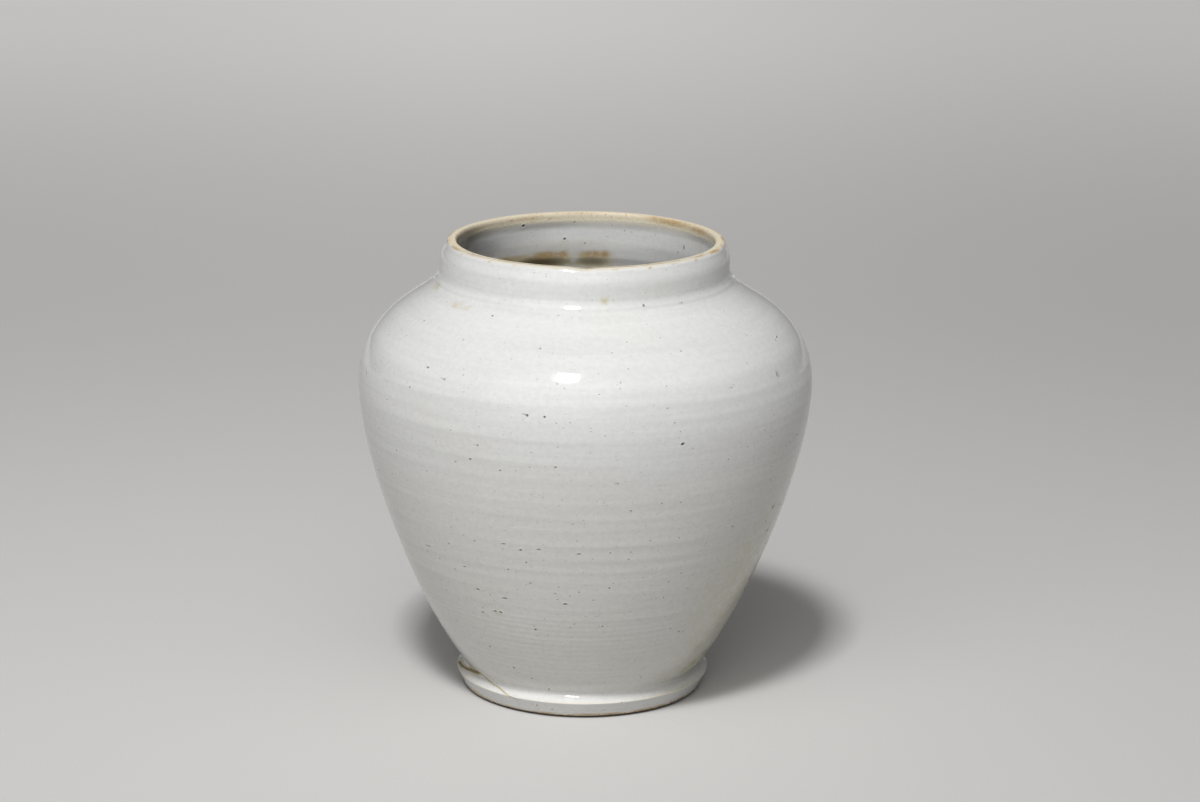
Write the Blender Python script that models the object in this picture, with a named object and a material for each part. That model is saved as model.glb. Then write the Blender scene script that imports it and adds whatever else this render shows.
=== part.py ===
# White porcelain jar with a swelling shoulder, a low neck and a turned foot.
#
# The jar is thrown as four members on the wheel and luted together with slip before it is glazed
# and fired: a foot ring, a bowl that is the lower body with its floor, the shoulder half above the
# belly seam, and the collar of the neck. Each member is one solid here. Every seam is a stepped
# lap, so each member sits in the one below, and a film of slip separates them.
#
# Metres, +Z up. The origin is the centre of the circle that the foot stands on. A section lies in
# the (radius, height) plane, and its angles run from straight outwards, 0 degrees, over straight
# up, 90 degrees, to straight inwards, 180 degrees.

import math

import bmesh
import bpy

MM = 0.001
UP = math.radians(90)
INWARDS = math.radians(180)
DOWN = math.radians(270)

# Whole jar
HEIGHT = 215.0 * MM
BELLY_RADIUS = 106.1 * MM
BELLY_HEIGHT = 147.5 * MM

# Foot ring, from the ground up
WAIST_RADIUS = 56.4 * MM
FLANGE_REACH = 3.6 * MM
FOOT_TAPER = 3.3 * MM
FOOT_RING_WALL = 9.5 * MM
FOOT_BORE_DRAFT = 0.8 * MM
FOOT_CHAMFER = 0.9 * MM
FOOT_BEVEL_WIDTH = 3.2 * MM
FOOT_BEVEL_HEIGHT = 1.1 * MM
FOOT_EDGE_HEIGHT = 8.2 * MM
FOOT_EDGE_ROUND = 0.5 * MM
COVE_ANGLE = math.radians(143)
COVE_DEPTH = 0.5
WAIST_RISE = 3.5 * MM

# Bowl and its floor
FLOOR_RECESS = 8.0 * MM
FLOOR_THICKNESS = 8.5 * MM
FLOOR_DISH = 0.8 * MM
FLOOR_FLAT_RADIUS = 30.0 * MM
BOWL_START_RISE = 1.55 * MM
BOWL_START_FLARE = 0.7 * MM
BOWL_START_ANGLE = math.radians(52.9)
BOWL_LOW_FULLNESS = 0.266
BOWL_HIGH_FULLNESS = 0.2285
BOWL_WALL = 7.5 * MM

# Shoulder
BELLY_WALL = 5.8 * MM
SHOULDER_WALL = 8.0 * MM
SHOULDER_END_ANGLE = math.radians(127.1)
SHOULDER_LOW_FULLNESS = 0.546
SHOULDER_HIGH_FULLNESS = 0.223

# Neck and lip
NECK_HEIGHT = 18.0 * MM
NECK_RADIUS = 67.7 * MM
NECK_LEAN = math.radians(94)
CREASE_REACH = 1.9 * MM
THROAT_WALL = 7.6 * MM
NECK_HOLLOW_RISE = 4.2 * MM
NECK_STRAIGHT_RISE = 5.8 * MM
LIP_INSET = 2.6 * MM
LIP_SIDE_ANGLE = math.radians(110)
LIP_DROP = 1.6 * MM
LIP_WALL = 5.9 * MM
LIP_OUTER_ROUND = 2.1 * MM
LIP_INNER_ROUND = 1.0 * MM
MOUTH_EDGE_DROP = 1.2 * MM
BORE_WIDENING = 1.4 * MM
BORE_WIDENING_DEPTH = 9.0 * MM

# Luted laps: the step of each seam, and the film of slip between the members
SLIP_GAP = 0.3 * MM
FOOT_LAP_WIDTH = 2.0 * MM
BELLY_SEAM_RISE = 8.5 * MM
BELLY_LAP_HEIGHT = 3.5 * MM
NECK_LAP_HEIGHT = 2.5 * MM
LAP_SHARE = 0.5

# The jar came off the wheel a little out of true: sideways shift of its axis at five heights
FOOT_SHIFT = -0.4 * MM
BELLY_SHIFT = 0.15 * MM
SHOULDER_SHIFT = 0.2 * MM
SHOULDER_SHIFT_DEPTH = 22.0 * MM
CREASE_SHIFT = -0.6 * MM
RIM_SHIFT = 0.0 * MM

# Colours and gloss of the glaze on each member
FOOT_COLOUR = (0.62, 0.61, 0.56)
BOWL_COLOUR = (0.70, 0.70, 0.67)
SHOULDER_COLOUR = (0.76, 0.77, 0.77)
NECK_COLOUR = (0.74, 0.75, 0.75)
WORN_GLOSS = 0.25
BODY_GLOSS = 0.2

# Facets
ROUND_STEPS = 64
BOWL_STEPS = 15
SHOULDER_STEPS = 14
FLOOR_STEPS = 4
BLEND_STEPS = 4
EDGE_STEPS = 3
SOFT_PULL = 0.36
SMOOTH_ANGLE = math.radians(38)
MERGE_GAP = 0.01 * MM
NEAREST_POINT = 1.4 * MM

# Radii and heights that follow from the sizes above
FOOT_EDGE_RADIUS = WAIST_RADIUS + FLANGE_REACH
FOOT_STAND_RADIUS = FOOT_EDGE_RADIUS - FOOT_TAPER
FOOT_BORE_RADIUS = FOOT_STAND_RADIUS - FOOT_RING_WALL
FOOT_BORE_TOP_RADIUS = FOOT_BORE_RADIUS + FOOT_BORE_DRAFT
WAIST_HEIGHT = FOOT_EDGE_HEIGHT + WAIST_RISE
FLOOR_TOP = FLOOR_RECESS + FLOOR_THICKNESS
BOWL_START = (WAIST_RADIUS + BOWL_START_FLARE, WAIST_HEIGHT + BOWL_START_RISE)
BELLY = (BELLY_RADIUS, BELLY_HEIGHT)
BELLY_SEAM_HEIGHT = BELLY_HEIGHT + BELLY_SEAM_RISE
CREASE = (NECK_RADIUS + CREASE_REACH, HEIGHT - NECK_HEIGHT)
THROAT_RADIUS = CREASE[0] - THROAT_WALL
NECK_LAP_RADIUS = THROAT_RADIUS + THROAT_WALL * LAP_SHARE
NECK_LEDGE_HEIGHT = CREASE[1] - NECK_LAP_HEIGHT
LIP_RADIUS = NECK_RADIUS - LIP_INSET
MOUTH_RADIUS = LIP_RADIUS - LIP_WALL


def sweep(start, leaving, end, arriving, steps, pulls=(SOFT_PULL, SOFT_PULL)):
    """Points of a cubic curve that leaves and arrives at given angles, both ends included."""
    chord = math.dist(start, end)
    away = pulls[0] * chord
    home = pulls[1] * chord
    corners = (
        start,
        (start[0] + away * math.cos(leaving), start[1] + away * math.sin(leaving)),
        (end[0] - home * math.cos(arriving), end[1] - home * math.sin(arriving)),
        end,
    )
    points = []
    for step in range(steps + 1):
        t = step / steps
        weights = ((1 - t) ** 3, 3 * t * (1 - t) ** 2, 3 * t * t * (1 - t), t**3)
        radius = sum(weight * corner[0] for weight, corner in zip(weights, corners))
        height = sum(weight * corner[1] for weight, corner in zip(weights, corners))
        points.append((radius, height))
    return points


def set_in(points, wall_at_start, wall_at_end):
    """The same line moved inwards, square to itself, by a wall that changes evenly along it."""
    moved = []
    last = len(points) - 1
    for i, (radius, height) in enumerate(points):
        before = points[max(i - 1, 0)]
        after = points[min(i + 1, last)]
        run = after[0] - before[0]
        rise = after[1] - before[1]
        length = math.hypot(run, rise)
        wall = wall_at_start + (wall_at_end - wall_at_start) * i / last
        moved.append((radius - wall * rise / length, height + wall * run / length))
    return moved


def radius_at(line, height):
    """Radius of a rising line at one height."""
    for low, high in zip(line, line[1:]):
        if low[1] <= height <= high[1]:
            share = (height - low[1]) / (high[1] - low[1])
            return low[0] + (high[0] - low[0]) * share
    raise ValueError(f"the line doesn't reach height {height}")


def between(line, low, high):
    """The part of a rising line from one height to another, cut exactly at both."""
    inside = [p for p in line if low + NEAREST_POINT < p[1] < high - NEAREST_POINT]
    return [(radius_at(line, low), low), *inside, (radius_at(line, high), high)]


def body_lines():
    """Outer and inner lines of the whole body, which the belly seam then parts."""
    bowl = sweep(
        BOWL_START,
        BOWL_START_ANGLE,
        BELLY,
        UP,
        BOWL_STEPS,
        (BOWL_LOW_FULLNESS, BOWL_HIGH_FULLNESS),
    )
    shoulder = sweep(
        BELLY,
        UP,
        CREASE,
        SHOULDER_END_ANGLE,
        SHOULDER_STEPS,
        (SHOULDER_LOW_FULLNESS, SHOULDER_HIGH_FULLNESS),
    )
    outer = bowl + shoulder[1:]
    bowl_inside = set_in(bowl, BOWL_WALL, BELLY_WALL)
    shoulder_inside = set_in(shoulder, BELLY_WALL, SHOULDER_WALL)
    return outer, bowl_inside[:-1] + shoulder_inside


def belly_lap_radius(outer, inner):
    """Radius at which the belly's stepped seam turns upwards, inside the wall."""
    outside = radius_at(outer, BELLY_SEAM_HEIGHT)
    inside = radius_at(inner, BELLY_SEAM_HEIGHT)
    return inside + (outside - inside) * LAP_SHARE


def foot_ring_section():
    """Turned ring: bevelled foot, flared side, sharp edge, slope up to the waist, rebated bore."""
    ledge = FLOOR_RECESS - SLIP_GAP
    rebate = FOOT_BORE_TOP_RADIUS + FOOT_LAP_WIDTH
    flare = FOOT_TAPER / (FOOT_EDGE_HEIGHT - FOOT_BEVEL_HEIGHT)
    low_edge = (FOOT_EDGE_RADIUS - flare * FOOT_EDGE_ROUND, FOOT_EDGE_HEIGHT - FOOT_EDGE_ROUND)
    cove_start = (FOOT_EDGE_RADIUS - FOOT_EDGE_ROUND, FOOT_EDGE_HEIGHT + FOOT_EDGE_ROUND / 2)
    cove_end = (WAIST_RADIUS, WAIST_HEIGHT)
    cove = sweep(cove_start, COVE_ANGLE, cove_end, UP, BLEND_STEPS, (COVE_DEPTH, SOFT_PULL))
    return [
        (FOOT_BORE_RADIUS + FOOT_CHAMFER, 0),
        (FOOT_STAND_RADIUS - FOOT_BEVEL_WIDTH, 0),
        (FOOT_STAND_RADIUS, FOOT_BEVEL_HEIGHT),
        low_edge,
        (FOOT_EDGE_RADIUS, FOOT_EDGE_HEIGHT),
        *cove,
        (rebate, WAIST_HEIGHT),
        (rebate, ledge),
        (FOOT_BORE_TOP_RADIUS, ledge),
        (FOOT_BORE_RADIUS, FOOT_CHAMFER),
    ]


def lower_body_section():
    """Thrown bowl: a base that drops into the foot ring, and a wall up to the belly seam."""
    outer, inner = body_lines()
    base_radius = FOOT_BORE_TOP_RADIUS + FOOT_LAP_WIDTH - SLIP_GAP
    seat = WAIST_HEIGHT + SLIP_GAP
    waist = sweep((WAIST_RADIUS, seat), UP, BOWL_START, BOWL_START_ANGLE, EDGE_STEPS)
    lap_top = BELLY_SEAM_HEIGHT + BELLY_LAP_HEIGHT
    lap_radius = belly_lap_radius(outer, inner)
    wall_inside = between(inner, FLOOR_TOP + BOWL_WALL, lap_top)
    floor = sweep((FLOOR_FLAT_RADIUS, FLOOR_TOP), 0, wall_inside[0], BOWL_START_ANGLE, FLOOR_STEPS)
    return [
        (0, FLOOR_RECESS),
        (base_radius, FLOOR_RECESS),
        (base_radius, seat),
        *waist[:-1],
        *between(outer, BOWL_START[1], BELLY_SEAM_HEIGHT),
        (lap_radius, BELLY_SEAM_HEIGHT),
        (lap_radius, lap_top),
        *reversed(wall_inside),
        *reversed(floor[:-1]),
        (0, FLOOR_TOP - FLOOR_DISH),
    ]


def upper_body_section():
    """Shoulder half: a skirt over the bowl's tongue, and a ledge that takes the neck."""
    outer, inner = body_lines()
    skirt = BELLY_SEAM_HEIGHT + SLIP_GAP
    lap_top = skirt + BELLY_LAP_HEIGHT
    lap_radius = belly_lap_radius(outer, inner) + SLIP_GAP
    wall_inside = between(inner, lap_top, inner[-1][1])
    throat_start = NECK_LEDGE_HEIGHT - (inner[-1][0] - THROAT_RADIUS)
    return [
        *between(outer, skirt, CREASE[1]),
        (NECK_LAP_RADIUS, CREASE[1]),
        (NECK_LAP_RADIUS, NECK_LEDGE_HEIGHT),
        (THROAT_RADIUS, NECK_LEDGE_HEIGHT),
        (THROAT_RADIUS, throat_start),
        *reversed(wall_inside),
        (lap_radius, lap_top),
        (lap_radius, skirt),
    ]


def neck_collar_section():
    """Low neck that leans in a little, with a thickened lip and a flat land on top."""
    heel = (CREASE[0], CREASE[1] + SLIP_GAP)
    toe = NECK_LEDGE_HEIGHT + SLIP_GAP
    toe_radius = NECK_LAP_RADIUS - SLIP_GAP
    straight_low = (NECK_RADIUS, CREASE[1] + NECK_HOLLOW_RISE)
    lean_in = NECK_STRAIGHT_RISE / math.tan(NECK_LEAN)
    straight_high = (NECK_RADIUS + lean_in, straight_low[1] + NECK_STRAIGHT_RISE)
    lip = (LIP_RADIUS, HEIGHT - LIP_DROP)
    land_outer = (LIP_RADIUS - LIP_OUTER_ROUND, HEIGHT)
    land_inner = (MOUTH_RADIUS + LIP_INNER_ROUND, HEIGHT)
    mouth_edge = (MOUTH_RADIUS, HEIGHT - MOUTH_EDGE_DROP)
    bore_end = (MOUTH_RADIUS + BORE_WIDENING, HEIGHT - BORE_WIDENING_DEPTH)
    outside = sweep(straight_high, NECK_LEAN, lip, LIP_SIDE_ANGLE, BLEND_STEPS)
    lip_outside = sweep(lip, LIP_SIDE_ANGLE, land_outer, INWARDS, BLEND_STEPS)
    return [
        (THROAT_RADIUS, toe),
        (toe_radius, toe),
        (toe_radius, heel[1]),
        *sweep(heel, SHOULDER_END_ANGLE, straight_low, NECK_LEAN, BLEND_STEPS),
        *outside,
        *lip_outside[1:],
        *sweep(land_inner, INWARDS, mouth_edge, DOWN, EDGE_STEPS),
        *sweep(mouth_edge, DOWN, bore_end, DOWN, EDGE_STEPS)[1:],
    ]


def shift_at(height):
    """Sideways shift of the jar's axis at one height, eased from station to station."""
    stations = (
        (0, FOOT_SHIFT),
        (BELLY_HEIGHT, BELLY_SHIFT),
        (CREASE[1] - SHOULDER_SHIFT_DEPTH, SHOULDER_SHIFT),
        (CREASE[1], CREASE_SHIFT),
        (HEIGHT, RIM_SHIFT),
    )
    for (low, low_shift), (high, high_shift) in zip(stations, stations[1:]):
        if height <= high:
            share = max(height - low, 0) / (high - low)
            eased = share * share * (3 - 2 * share)
            return low_shift + (high_shift - low_shift) * eased
    return RIM_SHIFT


def glaze(name, colour, roughness):
    """Glazed surface of one member."""
    made = bpy.data.materials.new(name)
    made.use_nodes = True
    shader = made.node_tree.nodes["Principled BSDF"]
    shader.inputs["Base Color"].default_value = (*colour, 1)
    shader.inputs["Roughness"].default_value = roughness
    shader.inputs["Metallic"].default_value = 0
    made.diffuse_color = (*colour, 1)
    return made


def turned(name, section, parent, finish):
    """One member: its section spun round the jar's axis, standing on its own lowest ring."""
    base = min(height for _, height in section)
    shape = bmesh.new()
    ring = [shape.verts.new((radius, 0, height - base)) for radius, height in section]
    touches_axis = section[0][0] == 0 and section[-1][0] == 0
    pairs = list(zip(ring, ring[1:]))
    if not touches_axis:
        pairs.append((ring[-1], ring[0]))
    edges = [shape.edges.new(pair) for pair in pairs]
    bmesh.ops.spin(
        shape,
        geom=ring + edges,
        cent=(0, 0, 0),
        axis=(0, 0, 1),
        angle=2 * math.pi,
        steps=ROUND_STEPS,
        use_merge=True,
    )
    bmesh.ops.remove_doubles(shape, verts=shape.verts, dist=MERGE_GAP)
    for vert in shape.verts:
        vert.co.x += shift_at(vert.co.z + base)
    bmesh.ops.recalc_face_normals(shape, faces=shape.faces)
    mesh = bpy.data.meshes.new(name)
    shape.to_mesh(mesh)
    shape.free()
    mesh.shade_smooth()
    mesh.set_sharp_from_angle(angle=SMOOTH_ANGLE)
    mesh.materials.append(finish)
    member = bpy.data.objects.new(name, mesh)
    member.location.z = base
    member.parent = parent
    bpy.context.scene.collection.objects.link(member)


def clear_scene():
    for old in list(bpy.data.objects):
        bpy.data.objects.remove(old, do_unlink=True)


def build_jar():
    clear_scene()
    jar = bpy.data.objects.new("jar", None)
    bpy.context.scene.collection.objects.link(jar)
    foot_glaze = glaze("foot_glaze", FOOT_COLOUR, WORN_GLOSS)
    bowl_glaze = glaze("bowl_glaze", BOWL_COLOUR, BODY_GLOSS)
    shoulder_glaze = glaze("shoulder_glaze", SHOULDER_COLOUR, BODY_GLOSS)
    neck_glaze = glaze("neck_glaze", NECK_COLOUR, BODY_GLOSS)
    turned("foot_ring", foot_ring_section(), jar, foot_glaze)
    turned("lower_body", lower_body_section(), jar, bowl_glaze)
    turned("upper_body", upper_body_section(), jar, shoulder_glaze)
    turned("neck_collar", neck_collar_section(), jar, neck_glaze)


build_jar()
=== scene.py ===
# %% [markdown]
# # A white porcelain jar
#
# The jar is thrown on a wheel as four members: a foot ring, a bowl, a shoulder half and a neck.
# They are luted together with slip while the clay is leather-hard, then glazed and fired. The CAD
# model gives the shape and the size of each member. This lesson gives them their surfaces: the
# potter's rings, the pits and specks of the kiln, the bare lip and foot, the glaze and the light.
#
# The imported model is loaded first and never changed. Its box is kept, and the jar's height is read
# from it.

# %% Load the imported model
import math
import random

import bmesh
import bpy
import numpy as np
from mathutils import Euler, Matrix, Vector


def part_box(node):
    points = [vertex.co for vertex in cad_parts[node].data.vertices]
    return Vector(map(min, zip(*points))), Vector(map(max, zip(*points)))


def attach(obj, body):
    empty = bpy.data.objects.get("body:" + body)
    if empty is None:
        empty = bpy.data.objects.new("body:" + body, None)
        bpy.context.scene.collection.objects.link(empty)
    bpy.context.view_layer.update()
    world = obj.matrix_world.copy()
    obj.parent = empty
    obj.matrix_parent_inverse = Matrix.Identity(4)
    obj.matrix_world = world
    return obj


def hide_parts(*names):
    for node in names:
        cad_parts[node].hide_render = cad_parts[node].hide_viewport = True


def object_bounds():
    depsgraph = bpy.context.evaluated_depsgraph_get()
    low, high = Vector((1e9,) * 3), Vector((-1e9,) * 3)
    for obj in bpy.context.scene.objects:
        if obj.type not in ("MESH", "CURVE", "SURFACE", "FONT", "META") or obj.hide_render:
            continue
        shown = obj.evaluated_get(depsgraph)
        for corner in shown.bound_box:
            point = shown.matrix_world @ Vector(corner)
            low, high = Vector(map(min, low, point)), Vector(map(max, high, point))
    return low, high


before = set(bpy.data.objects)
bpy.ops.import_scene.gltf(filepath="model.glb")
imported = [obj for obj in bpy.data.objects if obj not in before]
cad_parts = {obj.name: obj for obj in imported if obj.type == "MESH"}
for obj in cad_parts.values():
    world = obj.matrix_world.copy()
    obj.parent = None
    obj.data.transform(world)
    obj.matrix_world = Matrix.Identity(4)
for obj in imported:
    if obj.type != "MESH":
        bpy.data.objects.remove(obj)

cad_low, cad_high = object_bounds()
print("CAD box", [round(v, 4) for v in cad_low], [round(v, 4) for v in cad_high])

# %% [markdown]
# ## Sizes
#
# A pot is described by its section, the line that a ruler held along its side would follow. The few
# sizes that the potter would measure with callipers come from the CAD boxes. The others are those of the
# CAD model, repeated here, because a box doesn't hold them. Only the throat, the inner edge of the mouth
# and the bend of the foot's slope are shaped from the photograph.
# Lengths are metres, and angles go from straight outwards, 0 degrees, over straight up, 90, to
# straight inwards, 180.

# %% Sizes of the jar
MM = 0.001
UP = math.radians(90)
INWARDS = math.radians(180)

HEIGHT = cad_high.z
SLIP_GAP = 0.3 * MM
WAIST_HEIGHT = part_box("foot_ring")[1].z
FLOOR_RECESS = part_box("lower_body")[0].z
BELLY_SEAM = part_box("upper_body")[0].z - SLIP_GAP / 2
BELLY_LAP_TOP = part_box("lower_body")[1].z + SLIP_GAP / 2
CREASE_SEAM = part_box("upper_body")[1].z + SLIP_GAP / 2
THROAT_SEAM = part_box("neck_collar")[0].z - SLIP_GAP / 2
WAIST_SEAM = WAIST_HEIGHT + SLIP_GAP / 2

BELLY = (106.1 * MM, 147.5 * MM)
WAIST_RADIUS = 56.4 * MM
FOOT_EDGE = (60.0 * MM, 8.2 * MM)
FOOT_EDGE_ROUND = 0.5 * MM
FOOT_STAND_RADIUS = 56.7 * MM
FOOT_BORE_RADIUS = 47.2 * MM
FOOT_BORE_TOP_RADIUS = 48.0 * MM
FOOT_CHAMFER = 0.9 * MM
FOOT_BEVEL_WIDTH = 3.2 * MM
FOOT_BEVEL_HEIGHT = 1.1 * MM
FOOT_LAP_RADIUS = 50.0 * MM
FOOT_SIDE_ANGLE = math.radians(66)
FOOT_SLOPE_ANGLE = math.radians(143)
BOWL_START = (57.1 * MM, 13.25 * MM)
BOWL_START_ANGLE = math.radians(52.9)
FLOOR_TOP = 16.5 * MM
FLOOR_DISH = 0.8 * MM
FLOOR_FLAT_RADIUS = 30.0 * MM
BOWL_WALL = 7.5 * MM
BELLY_WALL = 5.8 * MM
SHOULDER_WALL = 8.0 * MM
SHOULDER_END_ANGLE = math.radians(127.1)
CREASE = (69.6 * MM, 197.0 * MM)
THROAT_RADIUS = 61.2 * MM
THROAT_LOW = 187.5 * MM
THROAT_FLARE = 180.5 * MM
THROAT_LEAN = math.radians(150)
THROAT_ARRIVAL = math.radians(97)
THROAT_SPREAD = 0.8 * MM
NECK_LAP_RADIUS = 65.8 * MM
NECK_LOW = (67.7 * MM, 201.2 * MM)
NECK_HIGH = (67.3 * MM, 207.0 * MM)
NECK_LEAN = math.radians(94)
LIP = (65.1 * MM, 213.4 * MM)
LIP_ANGLE = math.radians(110)
LAND = (60.6 * MM, 63.0 * MM)
LAND_ANGLE = math.radians(38)
MOUTH_EDGE = (59.85 * MM, 212.0 * MM)
BORE_END = (60.55 * MM, 206.0 * MM)
for part, length in (("height", HEIGHT), ("belly", 2 * BELLY[0]), ("mouth", 2 * MOUTH_EDGE[0])):
    print(f"{part} {length / MM:.1f} mm")

# %% [markdown]
# ## The line of the jar
#
# The side of a thrown jar is a run of swelling and hollow curves. Each one is a cubic curve that
# leaves one point at one angle and reaches the next at another, as the potter's rib does. One
# line goes over the whole outside, and one over the whole inside. The members are cut from these
# two lines, so the skin of one runs on into the next without a step.

# %% Curves of the section
SOFT_PULLS = (0.36, 0.36)
FOOT_SLOPE_PULLS = (0.88, 0.24)
BOWL_PULLS = (0.266, 0.2285)
SHOULDER_PULLS = (0.546, 0.223)
THROAT_PULLS = (0.3, 0.4)
FINE = 200


def sweep(start, leaving, end, arriving, pulls=SOFT_PULLS, steps=FINE):
    """Points of a cubic curve that leaves and arrives at given angles, both ends included."""
    chord = math.dist(start, end)
    away, home = pulls[0] * chord, pulls[1] * chord
    t = np.linspace(0, 1, steps + 1)[:, None]
    second = (start[0] + away * math.cos(leaving), start[1] + away * math.sin(leaving))
    third = (end[0] - home * math.cos(arriving), end[1] - home * math.sin(arriving))
    corners = np.array([start, second, third, end])
    weights = np.hstack([(1 - t) ** 3, 3 * t * (1 - t) ** 2, 3 * t * t * (1 - t), t**3])
    return weights @ corners


def set_in(line, wall_at_start, wall_at_end):
    """The same line moved inwards, square to itself, by a wall that changes evenly along it."""
    along = np.gradient(line, axis=0)
    along = along / np.linalg.norm(along, axis=1)[:, None]
    wall = np.linspace(wall_at_start, wall_at_end, len(line))[:, None]
    return line + wall * np.column_stack([-along[:, 1], along[:, 0]])


def evenly(line, pitch):
    """The same line with its points one pitch apart, so that all rows of faces are alike."""
    line = np.asarray(line, float)
    run = np.concatenate([[0], np.cumsum(np.linalg.norm(np.diff(line, axis=0), axis=1))])
    places = np.linspace(0, run[-1], max(1, round(run[-1] / pitch)) + 1)
    return np.column_stack([np.interp(places, run, line[:, i]) for i in (0, 1)])


# %% The outside and the inside of the whole jar
def jar_lines():
    """Outside from the standing edge to the lip, and inside from the flat floor to the mouth."""
    bowl = sweep(BOWL_START, BOWL_START_ANGLE, BELLY, UP, BOWL_PULLS)
    shoulder = sweep(BELLY, UP, CREASE, SHOULDER_END_ANGLE, SHOULDER_PULLS)
    side_end = (FOOT_EDGE[0] - FOOT_EDGE_ROUND / 2, FOOT_EDGE[1] - FOOT_EDGE_ROUND)
    slope_start = (FOOT_EDGE[0] - FOOT_EDGE_ROUND, FOOT_EDGE[1] + FOOT_EDGE_ROUND / 2)
    waist = (WAIST_RADIUS, WAIST_HEIGHT)
    outside = [
        [(FOOT_STAND_RADIUS, FOOT_BEVEL_HEIGHT)],
        sweep(side_end, FOOT_SIDE_ANGLE, slope_start, FOOT_SLOPE_ANGLE, steps=12),
        sweep(slope_start, FOOT_SLOPE_ANGLE, waist, UP, FOOT_SLOPE_PULLS)[1:],
        sweep((WAIST_RADIUS, WAIST_HEIGHT + SLIP_GAP), UP, BOWL_START, BOWL_START_ANGLE),
        bowl[1:],
        shoulder[1:],
        sweep((CREASE[0], CREASE[1] + SLIP_GAP), SHOULDER_END_ANGLE, NECK_LOW, NECK_LEAN),
        sweep(NECK_HIGH, NECK_LEAN, LIP, LIP_ANGLE),
        sweep(LIP, LIP_ANGLE, (LAND[1], HEIGHT), INWARDS)[1:],
    ]
    bowl_inside = set_in(bowl, BOWL_WALL, BELLY_WALL)
    bowl_inside = bowl_inside[bowl_inside[:, 1] > FLOOR_TOP + BOWL_WALL]
    shoulder_inside = set_in(shoulder, BELLY_WALL, SHOULDER_WALL)
    under = shoulder_inside[shoulder_inside[:, 1] < THROAT_FLARE]
    throat_start = (THROAT_RADIUS + THROAT_SPREAD, THROAT_LOW)
    inside = [
        sweep((FLOOR_FLAT_RADIUS, FLOOR_TOP), 0, bowl_inside[0], BOWL_START_ANGLE),
        bowl_inside[1:],
        under[1:],
        sweep(under[-1], THROAT_LEAN, throat_start, THROAT_ARRIVAL, THROAT_PULLS)[1:],
        [(THROAT_RADIUS, THROAT_SEAM - 2 * MM), (THROAT_RADIUS, THROAT_SEAM)],
        sweep(BORE_END, UP, MOUTH_EDGE, UP),
        sweep(MOUTH_EDGE, UP, (LAND[0], HEIGHT), LAND_ANGLE)[1:],
    ]
    return np.vstack(outside), np.vstack(inside)


def facing(line, away):
    """Direction that each point of a rising line faces: away is 1 for outwards, -1 for inwards."""
    along = np.gradient(line, axis=0)
    along = along / np.maximum(np.linalg.norm(along, axis=1), 1e-12)[:, None]
    return away * np.column_stack([along[:, 1], -along[:, 0]])


OUTSIDE, INSIDE = jar_lines()
OUTSIDE_FACING, INSIDE_FACING = facing(OUTSIDE, 1), facing(INSIDE, -1)
print(f"outside line {len(OUTSIDE)} points, widest {OUTSIDE[:, 0].max() / MM:.2f} mm")


def part_of(line, low, high, pitch):
    """The stretch of a rising line from one height to another, cut exactly at both."""
    radii = np.interp((low, high), line[:, 1], line[:, 0])
    inside = line[(line[:, 1] > low) & (line[:, 1] < high)]
    return evenly(np.vstack([(radii[0], low), inside, (radii[1], high)]), pitch)


# %% [markdown]
# ## Out of true
#
# Four hand-thrown members never stack quite straight. The axis of this jar wanders sideways by
# less than a millimetre, as the CAD model's does. The rim dips and the walls swell a little too.
# Noise would do for that, but a hand on a wheel makes long swells, so a sum of a few slow waves
# round the jar is used. The waves come from fixed seeds, so the jar is the same each time.

# %% The wandering axis and slow irregularity
LEAN = [
    (0, -0.4 * MM), (BELLY[1], 0.15 * MM), (CREASE[1] - 22 * MM, 0.2 * MM), (CREASE[1], -0.6 * MM),
    (HEIGHT, 0.0),
]


def lean_at(height):
    """Sideways shift of the jar's axis at a height, eased from one measured height to the next."""
    stations, shifts = np.array(LEAN).T
    place = np.clip(np.searchsorted(stations, height) - 1, 0, len(stations) - 2)
    share = np.clip((height - stations[place]) / (stations[place + 1] - stations[place]), 0, 1)
    return shifts[place] + (shifts[place + 1] - shifts[place]) * share * share * (3 - 2 * share)


def drift(bearing, height, seed, turns, climb):
    """Slow unevenness from about -1 to 1: waves round the jar that lean up to a turn per climb."""
    draw = random.Random(seed)
    total = 0
    for turn in range(1, turns + 1):
        slant = draw.uniform(-1, 1) * 2 * math.pi / climb
        size = draw.uniform(0.6, 1)
        start = draw.uniform(0, 6.3)
        total = total + size * np.cos(turn * bearing + slant * height + start)
    return total / math.sqrt(turns)


# %% [markdown]
# ## Rings from the potter's fingers
#
# Fingers leave a rising spiral of ridges in the wall, and a turning tool leaves finer lines near
# the foot. The ridges that show most on this jar are written down by height; the strongest stand
# just above the widest part, where the two halves were luted and wiped smooth, and at 94 and 81
# mm, where pits opened along them. The rest follow a rule. Even the highest is only about a tenth
# of a millimetre, but the light comes steeply from above and shows it. They are moved vertices
# rather than a bump, so the shape is in the mesh. All of the skin is first set in by a small
# allowance, so that no ridge stands out past the CAD model.

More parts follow.
